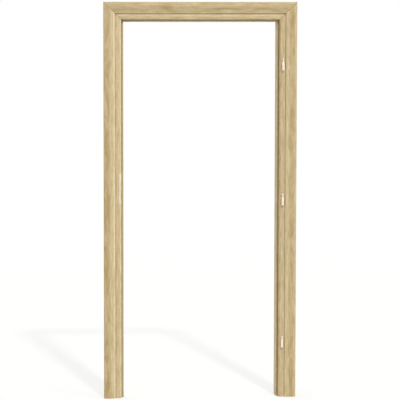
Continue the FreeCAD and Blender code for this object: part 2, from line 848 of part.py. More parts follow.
def build():
    """Make every sub-part and return them in order."""
    strike_jamb, hinge_jamb = jamb("strike_jamb", LEFT), jamb("hinge_jamb", RIGHT)
    head_jamb = jamb("head_jamb", HEAD)
    joints = ((strike_jamb, (-1,)), (hinge_jamb, (1,)), (head_jamb, (-1, 1)))
    for body, sides in joints:
        corner_holes(body, sides)
        places = [place for side in sides for place in plate_screw_places(side)]
        down_jamb, along_head = places[0::2], places[1::2]
        screw_pilots(body, along_head if body is head_jamb else down_jamb, PLATE_FACE)
    finish_hinge_jamb(hinge_jamb)
    finish_strike_jamb(strike_jamb)
    parts = [strike_jamb, hinge_jamb, head_jamb]
    for name, run, sides in (("left", LEFT, (-1,)), ("right", RIGHT, (1,)), ("head", HEAD, (-1, 1))):
        front = architrave(f"{name}_architrave", run)
        key_recess(front, "architrave", sides)
        rear = rear_trim(f"{name}_rear_trim", run)
        key_recess(rear, "rear", sides)
        parts += [front, rear, seal(f"{name}_seal", run)]
    for name, side in (("left", -1), ("right", 1)):
        parts.append(corner_key(f"{name}_architrave_key", "architrave", side))
        parts.append(corner_key(f"{name}_rear_key", "rear", side))
        parts += corner_plate(name, side)
    for name, line in HINGES.items():
        parts += hinge(name, line)
    return parts + strike_plate("strike_plate")


def check(parts):
    """Stop before anything is written if an object failed or a shape is null or invalid."""
    for item in doc.Objects:
        if "Invalid" in item.State or "Error" in item.State:
            raise RuntimeError(f"{item.Name} failed: {item.State}")
    for item in parts:
        if item.Shape.isNull() or not item.Shape.isValid():
            raise RuntimeError(f"{item.Label} has no valid shape")


def main():
    parts = build()
    doc.recompute()
    check(parts)
    os.makedirs("parts", exist_ok=True)
    for item in parts:
        item.Shape.exportStep(f"parts/{item.Label}.step")
        box = item.Shape.BoundBox
        print(f"{item.Label}: {len(item.Shape.Solids)} solid(s), {item.Shape.Volume:.0f} mm3, "
              f"{box.XLength:.1f} x {box.YLength:.1f} x {box.ZLength:.1f}")


main()
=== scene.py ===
"""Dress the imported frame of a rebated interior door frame: board wrapped in light oak film, brown
rebate seals, bright nickel pin hinges and strike plate, and zinc hardware behind the joints.

Sizes are in millimetres and become metres where a mesh is made. A member's section is drawn in two
local sizes, as in the solids: "out" is measured outwards from the clear opening, and "back" is
measured backwards from the front face of the architraves.
"""
import logging
import math
from dataclasses import dataclass
from enum import Enum
from functools import partial
from typing import Callable, Iterable, Sequence

import bmesh
import bpy
import numpy as np
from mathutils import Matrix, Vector

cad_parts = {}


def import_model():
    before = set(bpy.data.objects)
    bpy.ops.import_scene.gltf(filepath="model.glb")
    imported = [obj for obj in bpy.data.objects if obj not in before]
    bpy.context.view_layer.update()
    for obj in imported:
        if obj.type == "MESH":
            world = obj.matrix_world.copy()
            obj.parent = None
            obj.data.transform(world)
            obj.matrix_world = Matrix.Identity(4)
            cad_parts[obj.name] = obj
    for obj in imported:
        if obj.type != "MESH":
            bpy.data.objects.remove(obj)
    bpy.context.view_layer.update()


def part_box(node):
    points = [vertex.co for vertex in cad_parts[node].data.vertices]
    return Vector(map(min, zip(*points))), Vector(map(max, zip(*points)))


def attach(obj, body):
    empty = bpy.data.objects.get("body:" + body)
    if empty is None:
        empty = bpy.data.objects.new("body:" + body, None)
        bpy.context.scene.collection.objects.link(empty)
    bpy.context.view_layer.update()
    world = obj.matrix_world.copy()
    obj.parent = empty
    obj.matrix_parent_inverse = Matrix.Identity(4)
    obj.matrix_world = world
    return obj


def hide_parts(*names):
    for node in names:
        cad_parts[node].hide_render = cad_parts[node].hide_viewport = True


LOG = logging.getLogger("door_frame")
MM = 0.001
FILM_MAP = "film"
SMOOTH_ANGLE = math.radians(32)
MERGE = 0.002 * MM
Socket = bpy.types.NodeSocket
NodeMaker = Callable[..., Socket]


class Surface(Enum):
    """What covers one stretch of a member's section; the value is its place in the slots."""

    FILM = 0
    RAW = 1
    # The bare cut edge, darkened as painted shade of a joint's gap and shadow.
    SHADED_CUT = 2


class Run(Enum):
    """Which way a long member runs; the value is the side of the opening, and 0 is the head."""

    LEFT = -1
    RIGHT = 1
    HEAD = 0


# Colour and node helpers


def linear(code: str) -> tuple[float, float, float, float]:
    """Turn an sRGB hex colour into the linear one that a socket holds.

    Args:
        code: six hex digits.

    Returns:
        Red, green, blue and an alpha of 1.
    """
    channels = np.array([int(code[place:place + 2], 16) for place in (0, 2, 4)]) / 255
    bent = np.where(channels <= 0.04045, channels / 12.92, ((channels + 0.055) / 1.055) ** 2.4)
    return (*bent.tolist(), 1.0)


def grey(level: float) -> tuple[float, float, float, float]:
    """A neutral colour of one level."""
    return (level, level, level, 1.0)


def add(tree: bpy.types.NodeTree, kind: str, sockets: dict | None = None, out: int | str = 0,
        stops: Sequence[tuple] = (), **settings) -> Socket | None:
    """Add one node with its settings and links.

    Args:
        tree: the node tree that gets the node.
        kind: the node's name in Blender, without the ShaderNode in front of it.
        sockets: inputs by name or number, each with a value or with the output that feeds it.
        out: name or number of the output that is wanted.
        stops: places and colours of a colour ramp, lowest first.
        settings: the node's own properties.

    Returns:
        The wanted output, or None if the node ends the tree and has none.
    """
    made = tree.nodes.new(f"ShaderNode{kind}")
    for name, value in settings.items():
        setattr(made, name, value)
    for name, value in (sockets or {}).items():
        if isinstance(value, Socket):
            tree.links.new(value, made.inputs[name])
        else:
            made.inputs[name].default_value = value
    if stops:
        elements = made.color_ramp.elements
        while len(elements) < len(stops):
            elements.new(1.0)
        for element, (place, colour) in zip(elements, stops):
            element.position, element.color = place, colour
    return made.outputs[out] if made.outputs else None


def new_material(name: str) -> tuple[bpy.types.Material, NodeMaker]:
    """An empty node material, and what adds a node to it."""
    made = bpy.data.materials.new(name)
    made.use_nodes = True
    made.node_tree.nodes.clear()
    return made, partial(add, made.node_tree)


# Finishes


@dataclass(frozen=True)
class Finish:
    """What every finish shares: its paint() says what feeds the surface shader."""

    name: str

    def paint(self, node: NodeMaker) -> dict:
        """The surface shader's sockets, each with a value or with what feeds it."""
        raise NotImplementedError

    def material(self) -> bpy.types.Material:
        """Build the finished material."""
        made, node = new_material(self.name)
        node("OutputMaterial", {"Surface": node("BsdfPrincipled", self.paint(node))})
        return made


@dataclass(frozen=True)
class Figure:
    """One random pattern on a map of a member, stretched along the grain.

    Its size is in millimetres, across and along. It shows at the strength low up to the level
    start of its grain, and at the strength top from the level end on.
    """

    size: tuple[float, float]
    shift: float = 0.0
    start: float = 0.5
    end: float = 0.68
    top: float = 1.0
    low: float = 0.0
    detail: float = 3.0
    rough: float = 0.55

    def place(self, node: NodeMaker, flat: Socket) -> Socket:
        """The map measured in this pattern's own width and length, and shifted."""
        return node("Mapping", {
            "Vector": flat, "Location": (self.shift, self.shift * 0.7, self.shift),
            "Scale": (1 / (self.size[0] * MM), 1 / (self.size[1] * MM), 1.0)})

    def grain(self, node: NodeMaker, flat: Socket, out: int = 0) -> Socket:
        """Its soft random grain, about 0.5 on average, or with out 1 its three colours."""
        return node("TexNoise", {"Vector": self.place(node, flat), "Scale": 1.0,
                                 "Detail": self.detail, "Roughness": self.rough}, out)

    def mask(self, node: NodeMaker, flat: Socket) -> Socket:
        """Its strength at each place."""
        return node("ValToRGB", {0: self.grain(node, flat)},
                    stops=((self.start, grey(self.low)), (self.end, grey(self.top))))


@dataclass(frozen=True)
class OakFilm(Finish):
    """Light oak decor film, printed and embossed on a roll and wrapped round the board's profile.

    The print shows planks side by side: straight pale grain at their edges and, along their hearts,
    darker growth rings with wavy arches, short pores and a few pin knots. Every second heart is
    wider, and a straight line of pale edge wood runs where two planks meet: print, and also a
    painted highlight where the members' rolls lay it on the rounded inner edges of the left band
    and the left architrave. The film's own map holds metres across the wrap and along the roll, so
    the grain follows every fold. Real oak has rings 1 to 3 mm apart, and pores and fibres of 0.05
    to 0.3 mm: they are drawn several times as coarse, because nothing finer shows where a pixel is
    5 mm wide.
    """

    pale: str = "E0CEA8"
    body: str = "C4B084"
    late: str = "B09B6E"
    heart: str = "B59F71"
    flow: str = "A38C5A"
    blush: str = "CFB491"
    sage: str = "B9AE86"
    pore: str = "836842"
    knot: str = "836B41"
    # Colour of the pale line where planks meet: print, and a painted highlight on the left's
    # rounded inner edges.
    sap_and_highlight: str = "EFE0BB"
    plank: float = 90.0
    sway: Figure = Figure((40.0, 170.0), 3.1, rough=0.5)
    sway_reach: float = 20.0
    second_heart: float = 0.12
    # Place and strength of the pale line where planks meet, which also serves as a painted
    # highlight.
    sap_and_highlight_turn: float = 0.7
    sap_and_highlight_strength: float = 0.68
    streaks: Figure = Figure((9.0, 95.0), detail=6.0, rough=0.66)
    lines: Figure = Figure((8.0, 120.0), 51.0, 0.5, 0.61, detail=4.0, rough=0.6)
    fibres: Figure = Figure((0.9, 55.0), 41.0, 0.44, 0.58, 0.4, detail=4.0, rough=0.6)
    hill: Figure = Figure((46.0, 260.0), 7.7, detail=1.5)
    hill_height: float = 2.2
    ring_spacing: float = 11.0
    wide_spacing: float = 21.0
    blushes: Figure = Figure((26.0, 150.0), 13.0, top=0.72)
    sages: Figure = Figure((22.0, 110.0), 29.0, top=0.5)
    flows: Figure = Figure((12.0, 85.0), 21.0, 0.53, 0.64, 0.8, detail=7.0, rough=0.68)
    crowd: Figure = Figure((6.0, 60.0), 17.0, 0.4, 0.62, 1.0, 0.15, detail=2.0)
    short_pores: Figure = Figure((0.42, 8.0), 5.0, 0.57, 0.66, 0.62, detail=1.0)
    long_pores: Figure = Figure((0.7, 26.0), 35.0, 0.6, 0.7, 0.5, detail=1.0)
    knots: Figure = Figure((55.0, 210.0), 2.0)
    roughness: float = 0.5

    def hearts(self, node: NodeMaker, bent: Socket, turn: float) -> Socket:
        """Where the planks' hearts lie.

        A cosine that turns once in each plank is 1 along its heart. A weaker one, half as fast,
        lifts every second heart, which widens it.

        Args:
            node: adds a node.
            bent: the swaying map.
            turn: the cosine's turn in a metre, in radians.

        Returns:
            1 in a heart and 0 outside.
        """
        angle = node("Math", {0: node("SeparateXYZ", {0: bent}), 1: turn}, operation="MULTIPLY")
        half = node("Math", {0: angle, 1: 0.5}, operation="MULTIPLY")
        wave, slow = (node("Math", {0: each}, operation="COSINE") for each in (angle, half))
        lift = node("Math", {0: slow, 1: self.second_heart, 2: 0.5}, operation="MULTIPLY_ADD")
        level = node("Math", {0: wave, 1: 0.5, 2: lift}, operation="MULTIPLY_ADD")
        return node("ValToRGB", {0: level}, stops=((0.55, grey(0.0)), (0.92, grey(1.0))))

    def sap_line_and_highlight(self, node: NodeMaker, flat: Socket, turn: float) -> Socket:
        """The straight line where two planks meet, at the lowest place of a cosine.

        Args:
            node: adds a node.
            flat: the straight map.
            turn: the cosine's turn in a metre, in radians.

        Returns:
            The line's strength.
        """
        # The line is print, and a painted highlight where the members' rolls lay it on the left's
        # rounded inner edges.
        across = node("SeparateXYZ", {0: flat})
        angle = node("Math", {0: across, 1: turn, 2: self.sap_and_highlight_turn}, operation="MULTIPLY_ADD")
        wave = node("Math", {0: angle}, operation="COSINE")
        level = node("Math", {0: wave, 1: 0.5, 2: 0.5}, operation="MULTIPLY_ADD")
        return node("ValToRGB", {0: level},
                    stops=((0.0, grey(self.sap_and_highlight_strength)), (0.1, grey(0.0))))

    def rings(self, node: NodeMaker, bent: Socket, heart: Socket) -> list[Socket]:
        """Fine and wide growth rings, strongest in the hearts.

        A slow random hill is counted in rings, and what is left of the count rises through each
        ring to its dark edge and falls back.

        Args:
            node: adds a node.
            bent: the swaying map.
            heart: where the hearts lie.

        Returns:
            The strength of the fine rings and of the wide ones.
        """
        hill, made = self.hill.grain(node, bent), []
        for spacing, least, more, rise, edge, last in (
                (self.ring_spacing, 0.2, 0.4, 0.5, 0.84, 0.0),
                (self.wide_spacing, 0.0, 0.9, 0.55, 0.86, 0.1)):
            rings = self.hill.size[0] * self.hill_height / spacing
            count = node("Math", {0: hill, 1: rings}, operation="MULTIPLY")
            ring = node("ValToRGB", {0: node("Math", {0: count}, operation="FRACT")}, stops=(
                (0.0, grey(0.0)), (rise, grey(0.0)), (edge, grey(1.0)), (1.0, grey(last))))
            share = node("Math", {0: heart, 1: more, 2: least}, operation="MULTIPLY_ADD")
            made.append(node("Math", {0: ring, 1: share}, operation="MULTIPLY"))
        return made

    def paint(self, node: NodeMaker) -> dict:
        """Lay the print's patterns over the pale wood, one after the other.

        Args:
            node: adds a node.

        Returns:
            The surface shader's sockets.
        """
        turn = 2 * math.pi / (self.plank * MM)
        flat = node("UVMap", uv_map=FILM_MAP)
        bent = node("VectorMath", {
            0: self.sway.grain(node, flat, 1), 1: (self.sway_reach * MM, 0.0, 0.0), 2: flat},
            operation="MULTIPLY_ADD")
        heart = self.hearts(node, bent, turn)
        reach = node("Math", {0: heart, 1: 0.8, 2: 0.2}, operation="MULTIPLY_ADD")
        core = node("Math", {0: heart, 1: 0.62}, operation="MULTIPLY")
        lines, flows = (
            node("Math", {0: figure.mask(node, bent), 1: reach}, operation="MULTIPLY")
            for figure in (self.lines, self.flows))
        fine, wide = self.rings(node, bent, heart)
        short, long, crowd = (
            figure.mask(node, bent) for figure in (self.short_pores, self.long_pores, self.crowd))
        pores = node("Math", {0: short, 1: long}, operation="MAXIMUM")
        pores = node("Math", {0: pores, 1: crowd}, operation="MULTIPLY")
        spots = node("TexVoronoi", {"Vector": self.knots.place(node, bent), "Scale": 1.0})
        spots = node("ValToRGB", {0: spots}, stops=((0.0, grey(0.85)), (0.075, grey(0.0))))
        knots = node("Math", {0: spots, 1: heart}, operation="MULTIPLY")

        streaks = self.streaks.grain(node, bent)
        colour = node("ValToRGB", {0: streaks},
                      stops=((0.4, linear(self.pale)), (0.6, linear(self.body))))
        # The pale line where planks meet is print, and a painted highlight where it lies on the
        # left's rounded edges.
        for mask, tint in (
                (lines, self.late), (self.fibres.mask(node, bent), self.late), (core, self.heart),
                (self.sap_line_and_highlight(node, flat, turn), self.sap_and_highlight), (fine, self.late), (wide, self.flow),
                (self.blushes.mask(node, bent), self.blush),
                (self.sages.mask(node, bent), self.sage),
                (flows, self.flow), (pores, self.pore), (knots, self.knot)):
            colour = node("Mix", {0: mask, 6: colour, 7: linear(tint)}, 2, data_type="RGBA")

        shine = node("ValToRGB", {0: streaks}, stops=(
            (0.3, grey(self.roughness - 0.05)), (0.7, grey(self.roughness + 0.06))))
        height = node("Math", {0: pores, 1: wide}, operation="ADD")
        relief = node("Bump", {"Strength": 0.35, "Distance": 0.12 * MM, "Height": height},
                      invert=True)
        return {"Base Color": colour, "Roughness": shine, "Normal": relief, "IOR": 1.48}


@dataclass(frozen=True)
class RawBoard(Finish):
    """Medium density fibreboard, sawn and left bare: light brown felt with darker and paler fibres.

    Its fibres are about 0.1 mm wide and the saw's marks under 1 mm apart. Both are drawn coarser,
    so that they show.
    """

    pale: str = "C6AD85"
    dark: str = "A1865D"
    fibre_dark: str = "7F6642"
    fibre_pale: str = "DDCBA8"
    felt: float = 3.2
    cloud: float = 55.0
    fibre: float = 1.1
    wide_fibre: float = 1.76
    saw: Figure = Figure((120.0, 2.4), detail=1.0, rough=0.5)

    def paint(self, node: NodeMaker) -> dict:
        """Felt with slow clouds and two kinds of fibre, and saw marks across the member.

        Args:
            node: adds a node.

        Returns:
            The surface shader's sockets.
        """
        place = node("TexCoord", out="Object")
        felt, cloud, thin, wide = (
            node("TexNoise", {"Vector": place, "Scale": 1 / (size * MM), "Detail": detail,
                              "Roughness": rough})
            for size, detail, rough in ((self.felt, 5.0, 0.7), (self.cloud, 3.0, 0.5),
                                        (self.fibre, 2.0, 0.6), (self.wide_fibre, 2.0, 0.6)))
        cloud = node("Math", {0: cloud, 1: 0.45, 2: -0.1}, operation="MULTIPLY_ADD")
        mixed = node("Math", {0: felt, 1: cloud}, operation="ADD")
        colour = node("ValToRGB", {0: mixed},
                      stops=((0.42, linear(self.dark)), (0.82, linear(self.pale))))
        for shade, fibre, top in ((self.fibre_dark, thin, 0.5), (self.fibre_pale, wide, 0.45)):
            mask = node("ValToRGB", {0: fibre}, stops=((0.58, grey(0.0)), (0.68, grey(top))))
            colour = node("Mix", {0: mask, 6: colour, 7: linear(shade)}, 2, data_type="RGBA")
        saw = self.saw.grain(node, node("UVMap", uv_map=FILM_MAP))
        height = node("Math", {0: saw, 1: felt}, operation="ADD")
        relief = node("Bump", {"Strength": 0.5, "Distance": 0.2 * MM, "Height": height})
        return {"Base Color": colour, "Roughness": 0.88, "Normal": relief}


@dataclass(frozen=True)
class SoftSeal(Finish):
    """Brown thermoplastic rubber, extruded: even and dull, with a faint die line along it."""

    colour: str = "A5936A"
    worn: str = "B5A47A"
    bloom: float = 18.0
    die_lines: Figure = Figure((0.8, 300.0), detail=1.0, rough=0.5)

    def paint(self, node: NodeMaker) -> dict:
        """A slow bloom over the colour, and fine lines along the seal.

        Args:
            node: adds a node.

        Returns:
            The surface shader's sockets.
        """
        bloom = node("TexNoise", {"Vector": node("TexCoord", out="Object"),
                                  "Scale": 1 / (self.bloom * MM), "Detail": 4.0})
        colour = node("ValToRGB", {0: bloom},
                      stops=((0.35, linear(self.colour)), (0.7, linear(self.worn))))
        lines = self.die_lines.grain(node, node("UVMap", uv_map=FILM_MAP))
        relief = node("Bump", {"Strength": 0.25, "Distance": 0.05 * MM, "Height": lines})
        return {"Base Color": colour, "Roughness": 0.62, "Normal": relief, "IOR": 1.5}


@dataclass(frozen=True)
class PlatedSteel(Finish):
    """Plated mild steel: the plating sets the colour, and the surface keeps the marks under it.

    mark is the size of those marks in millimetres across and along the piece's Z axis, so turned
    rings are wide and low, and rolled sheet is marked lengthwise. A real tool mark is about 0.1 mm;
    it is drawn coarser, so that it shows.
    """

    colour: str
    shade: str
    roughness: float
    mark: tuple[float, float]
    patch: float = 14.0

    def paint(self, node: NodeMaker) -> dict:
        """Clouds in the plating's colour, and the marks in its shine and relief.

        Args:
            node: adds a node.

        Returns:
            The surface shader's sockets.
        """
        place = node("TexCoord", out="Object")
        across, along = (1 / (size * MM) for size in self.mark)
        drawn = node("Mapping", {"Vector": place, "Scale": (across, across, along)})
        marks = node("TexNoise", {
            "Vector": drawn, "Scale": 1.0, "Detail": 2.0, "Roughness": 0.6})
        clouds = node("TexNoise", {
            "Vector": place, "Scale": 1 / (self.patch * MM), "Detail": 3.0})
        colour = node("ValToRGB", {0: clouds},
                      stops=((0.38, linear(self.colour)), (0.66, linear(self.shade))))
        shine = node("ValToRGB", {0: marks}, stops=(
            (0.3, grey(self.roughness - 0.05)), (0.7, grey(self.roughness + 0.07))))
        relief = node("Bump", {"Strength": 0.12, "Distance": 0.04 * MM, "Height": marks})
        return {"Base Color": colour, "Metallic": 1.0, "Roughness": shine, "Normal": relief}


@dataclass(frozen=True)
class Speckled(Finish):
    """An even solid with one fine texture in its colour and surface: turned beech, moulded nylon.

    The texture's size and the depth of its relief are in millimetres. The first colour shows up to
    a low level of the texture, and the second from the level end on.
    """

    colour: str
    speck: str
    size: float
    end: float
    depth: float
    roughness: float
    ior: float

    def paint(self, node: NodeMaker) -> dict:
        """The texture in colour and relief.

        Args:
            node: adds a node.

        Returns:
            The surface shader's sockets.
        """
        texture = node("TexNoise", {"Vector": node("TexCoord", out="Object"),
                                    "Scale": 1 / (self.size * MM), "Detail": 3.0})
        colour = node("ValToRGB", {0: texture},
                      stops=((0.35, linear(self.colour)), (self.end, linear(self.speck))))
        relief = node("Bump", {"Strength": 0.3, "Distance": self.depth * MM, "Height": texture})
        return {"Base Color": colour, "Roughness": self.roughness, "Normal": relief,
                "IOR": self.ior}


class Palette:
    """The finished materials, each made once and shared."""

    def __init__(self) -> None:
        """Make every material."""
        self.film = OakFilm("oak_decor_film").material()
        self.board = RawBoard("sawn_fibreboard").material()
        # The bare board where the film is cut, at each mitre and in the joints of the right jamb
        # and the head with their architraves, darkened as painted shade of the joint's gap and of
        # the architrave's shadow: a fine dark brown line.
        self.cut_edge_and_shade = RawBoard(
            "cut_edge_painted_shade", "97794F", "755A37", "5C4527", "A98B5F").material()
        # Dowel rod is turned and left plain: even, pale and dull, with short flecks.
        self.beech = Speckled(
            "turned_beech", "E0BF93", "C59B68", 1.5, 0.65, 0.1, 0.7, 1.5).material()
        self.seal = SoftSeal("extruded_seal_rubber").material()
        # Turned bar keeps fine level rings, which draw its highlight into an upright band.
        self.turned_nickel = PlatedSteel(
            "turned_nickel_plated_steel", "FBEEDB", "ECE0CA", 0.24, (30.0, 0.35)).material()
        # Pressed sheet keeps the marks of its rolling, so it is duller than the bar.
        self.pressed_nickel = PlatedSteel(
            "pressed_nickel_plated_steel", "EBDEC6", "E0D3BA", 0.34, (0.5, 40.0)).material()
        # Zinc plating is a bluish grey, cloudy and half dull.
        self.zinc = PlatedSteel(
            "zinc_plated_steel", "C4C8CB", "A9AEB4", 0.36, (1.2, 1.2), 6.0).material()
        # Nylon comes out of a lightly textured tool: a soft sheen, dark keys, cream washers.
        self.nylon, self.natural_nylon = (
            Speckled(name, colour, speck, 0.9, 0.7, 0.06, 0.55, 1.53).material()
            for name, colour, speck in (("moulded_nylon", "34332F", "45433D"),
                                        ("natural_nylon", "E2D8C0", "ECE3CE")))
        # What covers a board, in the order of Surface.
        self.skins = [self.film, self.board, self.cut_edge_and_shade]


# Mesh helpers


def rounded(corners: np.ndarray, radii: np.ndarray,
            steps: int = 7) -> tuple[np.ndarray, np.ndarray]:
    """Round the corners of a closed outline.

    At each corner an arc of its radius touches both sides: its centre lies on the line that halves
    the angle, and its points turn evenly from one touching place to the other.

    Args:
        corners: the outline's corners, n by 2.
        radii: one radius for each corner, and 0 keeps it sharp.
        steps: points in each arc.

    Returns:
        The rounded outline, and for each of its points the number of the corner that it came from.
    """
    to_last = np.roll(corners, 1, axis=0) - corners
    to_next = np.roll(corners, -1, axis=0) - corners
    to_last /= np.linalg.norm(to_last, axis=1, keepdims=True)
    to_next /= np.linalg.norm(to_next, axis=1, keepdims=True)
    half = np.arccos(np.clip((to_last * to_next).sum(axis=1), -1, 1)) / 2
    reach = (radii / np.tan(half))[:, None]
    middle = to_last + to_next
    length = np.linalg.norm(middle, axis=1, keepdims=True)
    middle = np.divide(middle, length, out=np.zeros_like(middle), where=length > 1e-6)
    centre = corners + middle * (radii / np.sin(half))[:, None]
    first = corners + to_last * reach - centre
    last = corners + to_next * reach - centre
    turn = (math.pi - 2 * half)[:, None, None]
    share = np.linspace(0, 1, steps)[None, :, None]
    arc = np.sin((1 - share) * turn) * first[:, None] + np.sin(share * turn) * last[:, None]
    points = (centre[:, None] + arc / np.maximum(np.sin(turn), 1e-9)).reshape(-1, 2)
    source = np.repeat(np.arange(len(corners)), steps)
    keep = np.linalg.norm(points - np.roll(points, 1, axis=0), axis=1) > 1e-5
    return points[keep], source[keep]


def inset(points: np.ndarray, distance: float) -> np.ndarray:
    """Move a closed outline inwards: each point goes square to the line between its neighbours.

    Args:
        points: the outline, n by 2.
        distance: how far, in the outline's own unit.

    Returns:
        The smaller outline.
    """
    along = np.roll(points, -1, axis=0) - np.roll(points, 1, axis=0)
    square = np.stack([-along[:, 1], along[:, 0]], axis=1)
    square /= np.maximum(np.linalg.norm(square, axis=1, keepdims=True), 1e-9)
    across, up = points[:, 0], points[:, 1]
    turning = np.sum(across * np.roll(up, -1) - np.roll(across, -1) * up)
    return points + square * distance * np.sign(turning)


def grid_faces(rows: int, columns: int, ring: bool = False) -> np.ndarray:
    """Number the four corners of every cell of a grid of points, whose rows close on themselves.

    Args:
        rows: rows of points.
        columns: points in a row.
        ring: whether the last row joins the first.

    Returns:
        The cells, one row each, in the order of the grid.
    """
    row = np.arange(rows if ring else rows - 1)[:, None]
    column = np.arange(columns)[None, :]
    above, beside = (row + 1) % rows * columns, (column + 1) % columns
    cells = [row * columns + column, row * columns + beside, above + beside, above + column]
    return np.stack(cells, axis=-1).reshape(-1, 4)


def make_piece(name: str, points: np.ndarray, faces: Iterable[Sequence[int]],
               materials: Sequence[bpy.types.Material], finishes: np.ndarray | None = None,
               flat: np.ndarray | None = None) -> bpy.types.Object:
    """Make one closed piece with smooth shading and its faces outwards.

    Args:
        name: the piece's name.
        points: its vertices in metres, n by 3.
        faces: the vertices of each face.
        materials: its materials.
        finishes: for each face, which of the materials it wears.
        flat: for each corner of each face, its place in the film's map, in metres.

    Returns:
        The new object, at the origin.
    """
    mesh = bpy.data.meshes.new(name)
    mesh.from_pydata(points.tolist(), [], [list(face) for face in faces])
    for material in materials:
        mesh.materials.append(material)
    if finishes is not None:
        mesh.polygons.foreach_set("material_index", np.asarray(finishes, dtype=np.int32))
    if flat is not None:
        layer = mesh.uv_layers.new(name=FILM_MAP)
        layer.data.foreach_set("uv", np.asarray(flat, dtype=np.float32).ravel())
    work = bmesh.new()
    work.from_mesh(mesh)
    bmesh.ops.remove_doubles(work, verts=work.verts, dist=MERGE)
    bmesh.ops.dissolve_degenerate(work, edges=work.edges, dist=0.001 * MM)
    bmesh.ops.recalc_face_normals(work, faces=work.faces)
    if work.calc_volume(signed=True) < 0:
        bmesh.ops.reverse_faces(work, faces=work.faces)
    work.to_mesh(mesh)
    work.free()
    smooth(mesh)
    piece = bpy.data.objects.new(name, mesh)
    bpy.context.scene.collection.objects.link(piece)
    return piece


def smooth(mesh: bpy.types.Mesh) -> None:
    """Shade a mesh smooth, apart from its sharp edges."""
    mesh.polygons.foreach_set("use_smooth", np.ones(len(mesh.polygons), dtype=bool))
    mesh.set_sharp_from_angle(angle=SMOOTH_ANGLE)


def place_piece(piece: bpy.types.Object, nodes: Sequence[str]) -> bpy.types.Object:
    """Give a finished piece its body and the solids that it stands for.

    Args:
        piece: the finished piece.
        nodes: the solids' names.

    Returns:
        The same piece.
    """
    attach(piece, "root")
    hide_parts(*nodes)
    LOG.info("%s: %d faces, stands for %s", piece.name, len(piece.data.polygons), ", ".join(nodes))
    return piece


def lathe(name: str, corners: Sequence[tuple[float, float]], radii: Sequence[float],
          foot: Sequence[float], axis: str, material: bpy.types.Material, segments: int = 64,
          ring: bool = False) -> bpy.types.Object:
    """Turn a rounded half section about an axis.

    A point at angle a lies at the section's radius times cos a and sin a, and at its height.

    Args:
        name: the piece's name.
        corners: radius and height of each corner, in millimetres.
        radii: the rounding of each corner.
        foot: where height 0 on the axis lies, in metres.
        axis: Z for an upright axis and Y for one that runs back.
        material: the finish.
        segments: points in a turn.
        ring: whether the section closes on itself, and doesn't run from axis to axis.

    Returns:
        The turned piece.
    """
    section, _ = rounded(np.array(corners, dtype=float), np.array(radii, dtype=float))
    angle = np.linspace(0, 2 * math.pi, segments, endpoint=False)
    radius, height = section[:, 0][:, None], np.repeat(section[:, 1][:, None], segments, axis=1)
    first, second = radius * np.cos(angle), radius * np.sin(angle)
    order = (first, second, height) if axis == "Z" else (first, height, second)
    points = np.stack(order, axis=-1).reshape(-1, 3) * MM + np.array(foot)
    faces = grid_faces(len(section), segments, ring).tolist()
    return make_piece(name, points, faces, [material])


def soften(node: str, name: str, material: bpy.types.Material,
           edge: float = 0.25) -> None:
    """Copy a solid's mesh, join it up, round its sharp edges and let it stand for the solid.

    Args:
        node: the solid that is copied.
        name: the new piece's name.
        material: its finish.
        edge: the width of the rounding in millimetres.
    """
    mesh = bpy.data.objects[node].data.copy()
    mesh.materials.clear()
    mesh.materials.append(material)
    work = bmesh.new()
    work.from_mesh(mesh)
    bmesh.ops.remove_doubles(work, verts=work.verts, dist=MERGE)
    bmesh.ops.dissolve_limit(
        work, angle_limit=math.radians(0.5), verts=work.verts, edges=work.edges)
    sharp = [item for item in work.edges
             if len(item.link_faces) == 2 and item.calc_face_angle() > SMOOTH_ANGLE]
    bmesh.ops.bevel(work, geom=sharp, offset=edge * MM, offset_type="OFFSET", segments=2,
                    profile=0.5, affect="EDGES", clamp_overlap=True)
    bmesh.ops.triangulate(work, faces=work.faces)
    bmesh.ops.recalc_face_normals(work, faces=work.faces)
    for face in work.faces:
        face.material_index = 0
    work.to_mesh(mesh)
    work.free()
    smooth(mesh)
    piece = bpy.data.objects.new(name, mesh)
    bpy.context.scene.collection.objects.link(piece)
    place_piece(piece, [node])


def box_points(low: tuple, high: tuple) -> np.ndarray:
    """Eight corners of a box from its lowest and highest corner."""
    pick = np.array([[x, y, z] for z in (0, 1) for y in (0, 1) for x in (0, 1)])
    return np.array(low) * (1 - pick) + np.array(high) * pick


BOX_FACES = [(0, 1, 3, 2), (4, 5, 7, 6), (0, 1, 5, 4), (2, 3, 7, 6), (0, 2, 6, 4), (1, 3, 7, 5)]


def cut(piece: bpy.types.Object, tool: bpy.types.Object) -> None:
    """Subtract a tool from a piece, and remove the tool.

    Args:
        piece: the piece that is cut.
        tool: the tool, which gives the cut its own material.
    """
    step = piece.modifiers.new("cut", "BOOLEAN")
    step.operation, step.solver, step.object = "DIFFERENCE", "EXACT", tool
    step.material_mode = "TRANSFER"
    bpy.context.view_layer.update()
    graph = bpy.context.evaluated_depsgraph_get()
    mesh = bpy.data.meshes.new_from_object(
        piece.evaluated_get(graph), preserve_all_data_layers=True, depsgraph=graph)
    piece.modifiers.clear()
    piece.data = mesh
    smooth(mesh)
    bpy.data.objects.remove(tool)


# Sub-assemblies


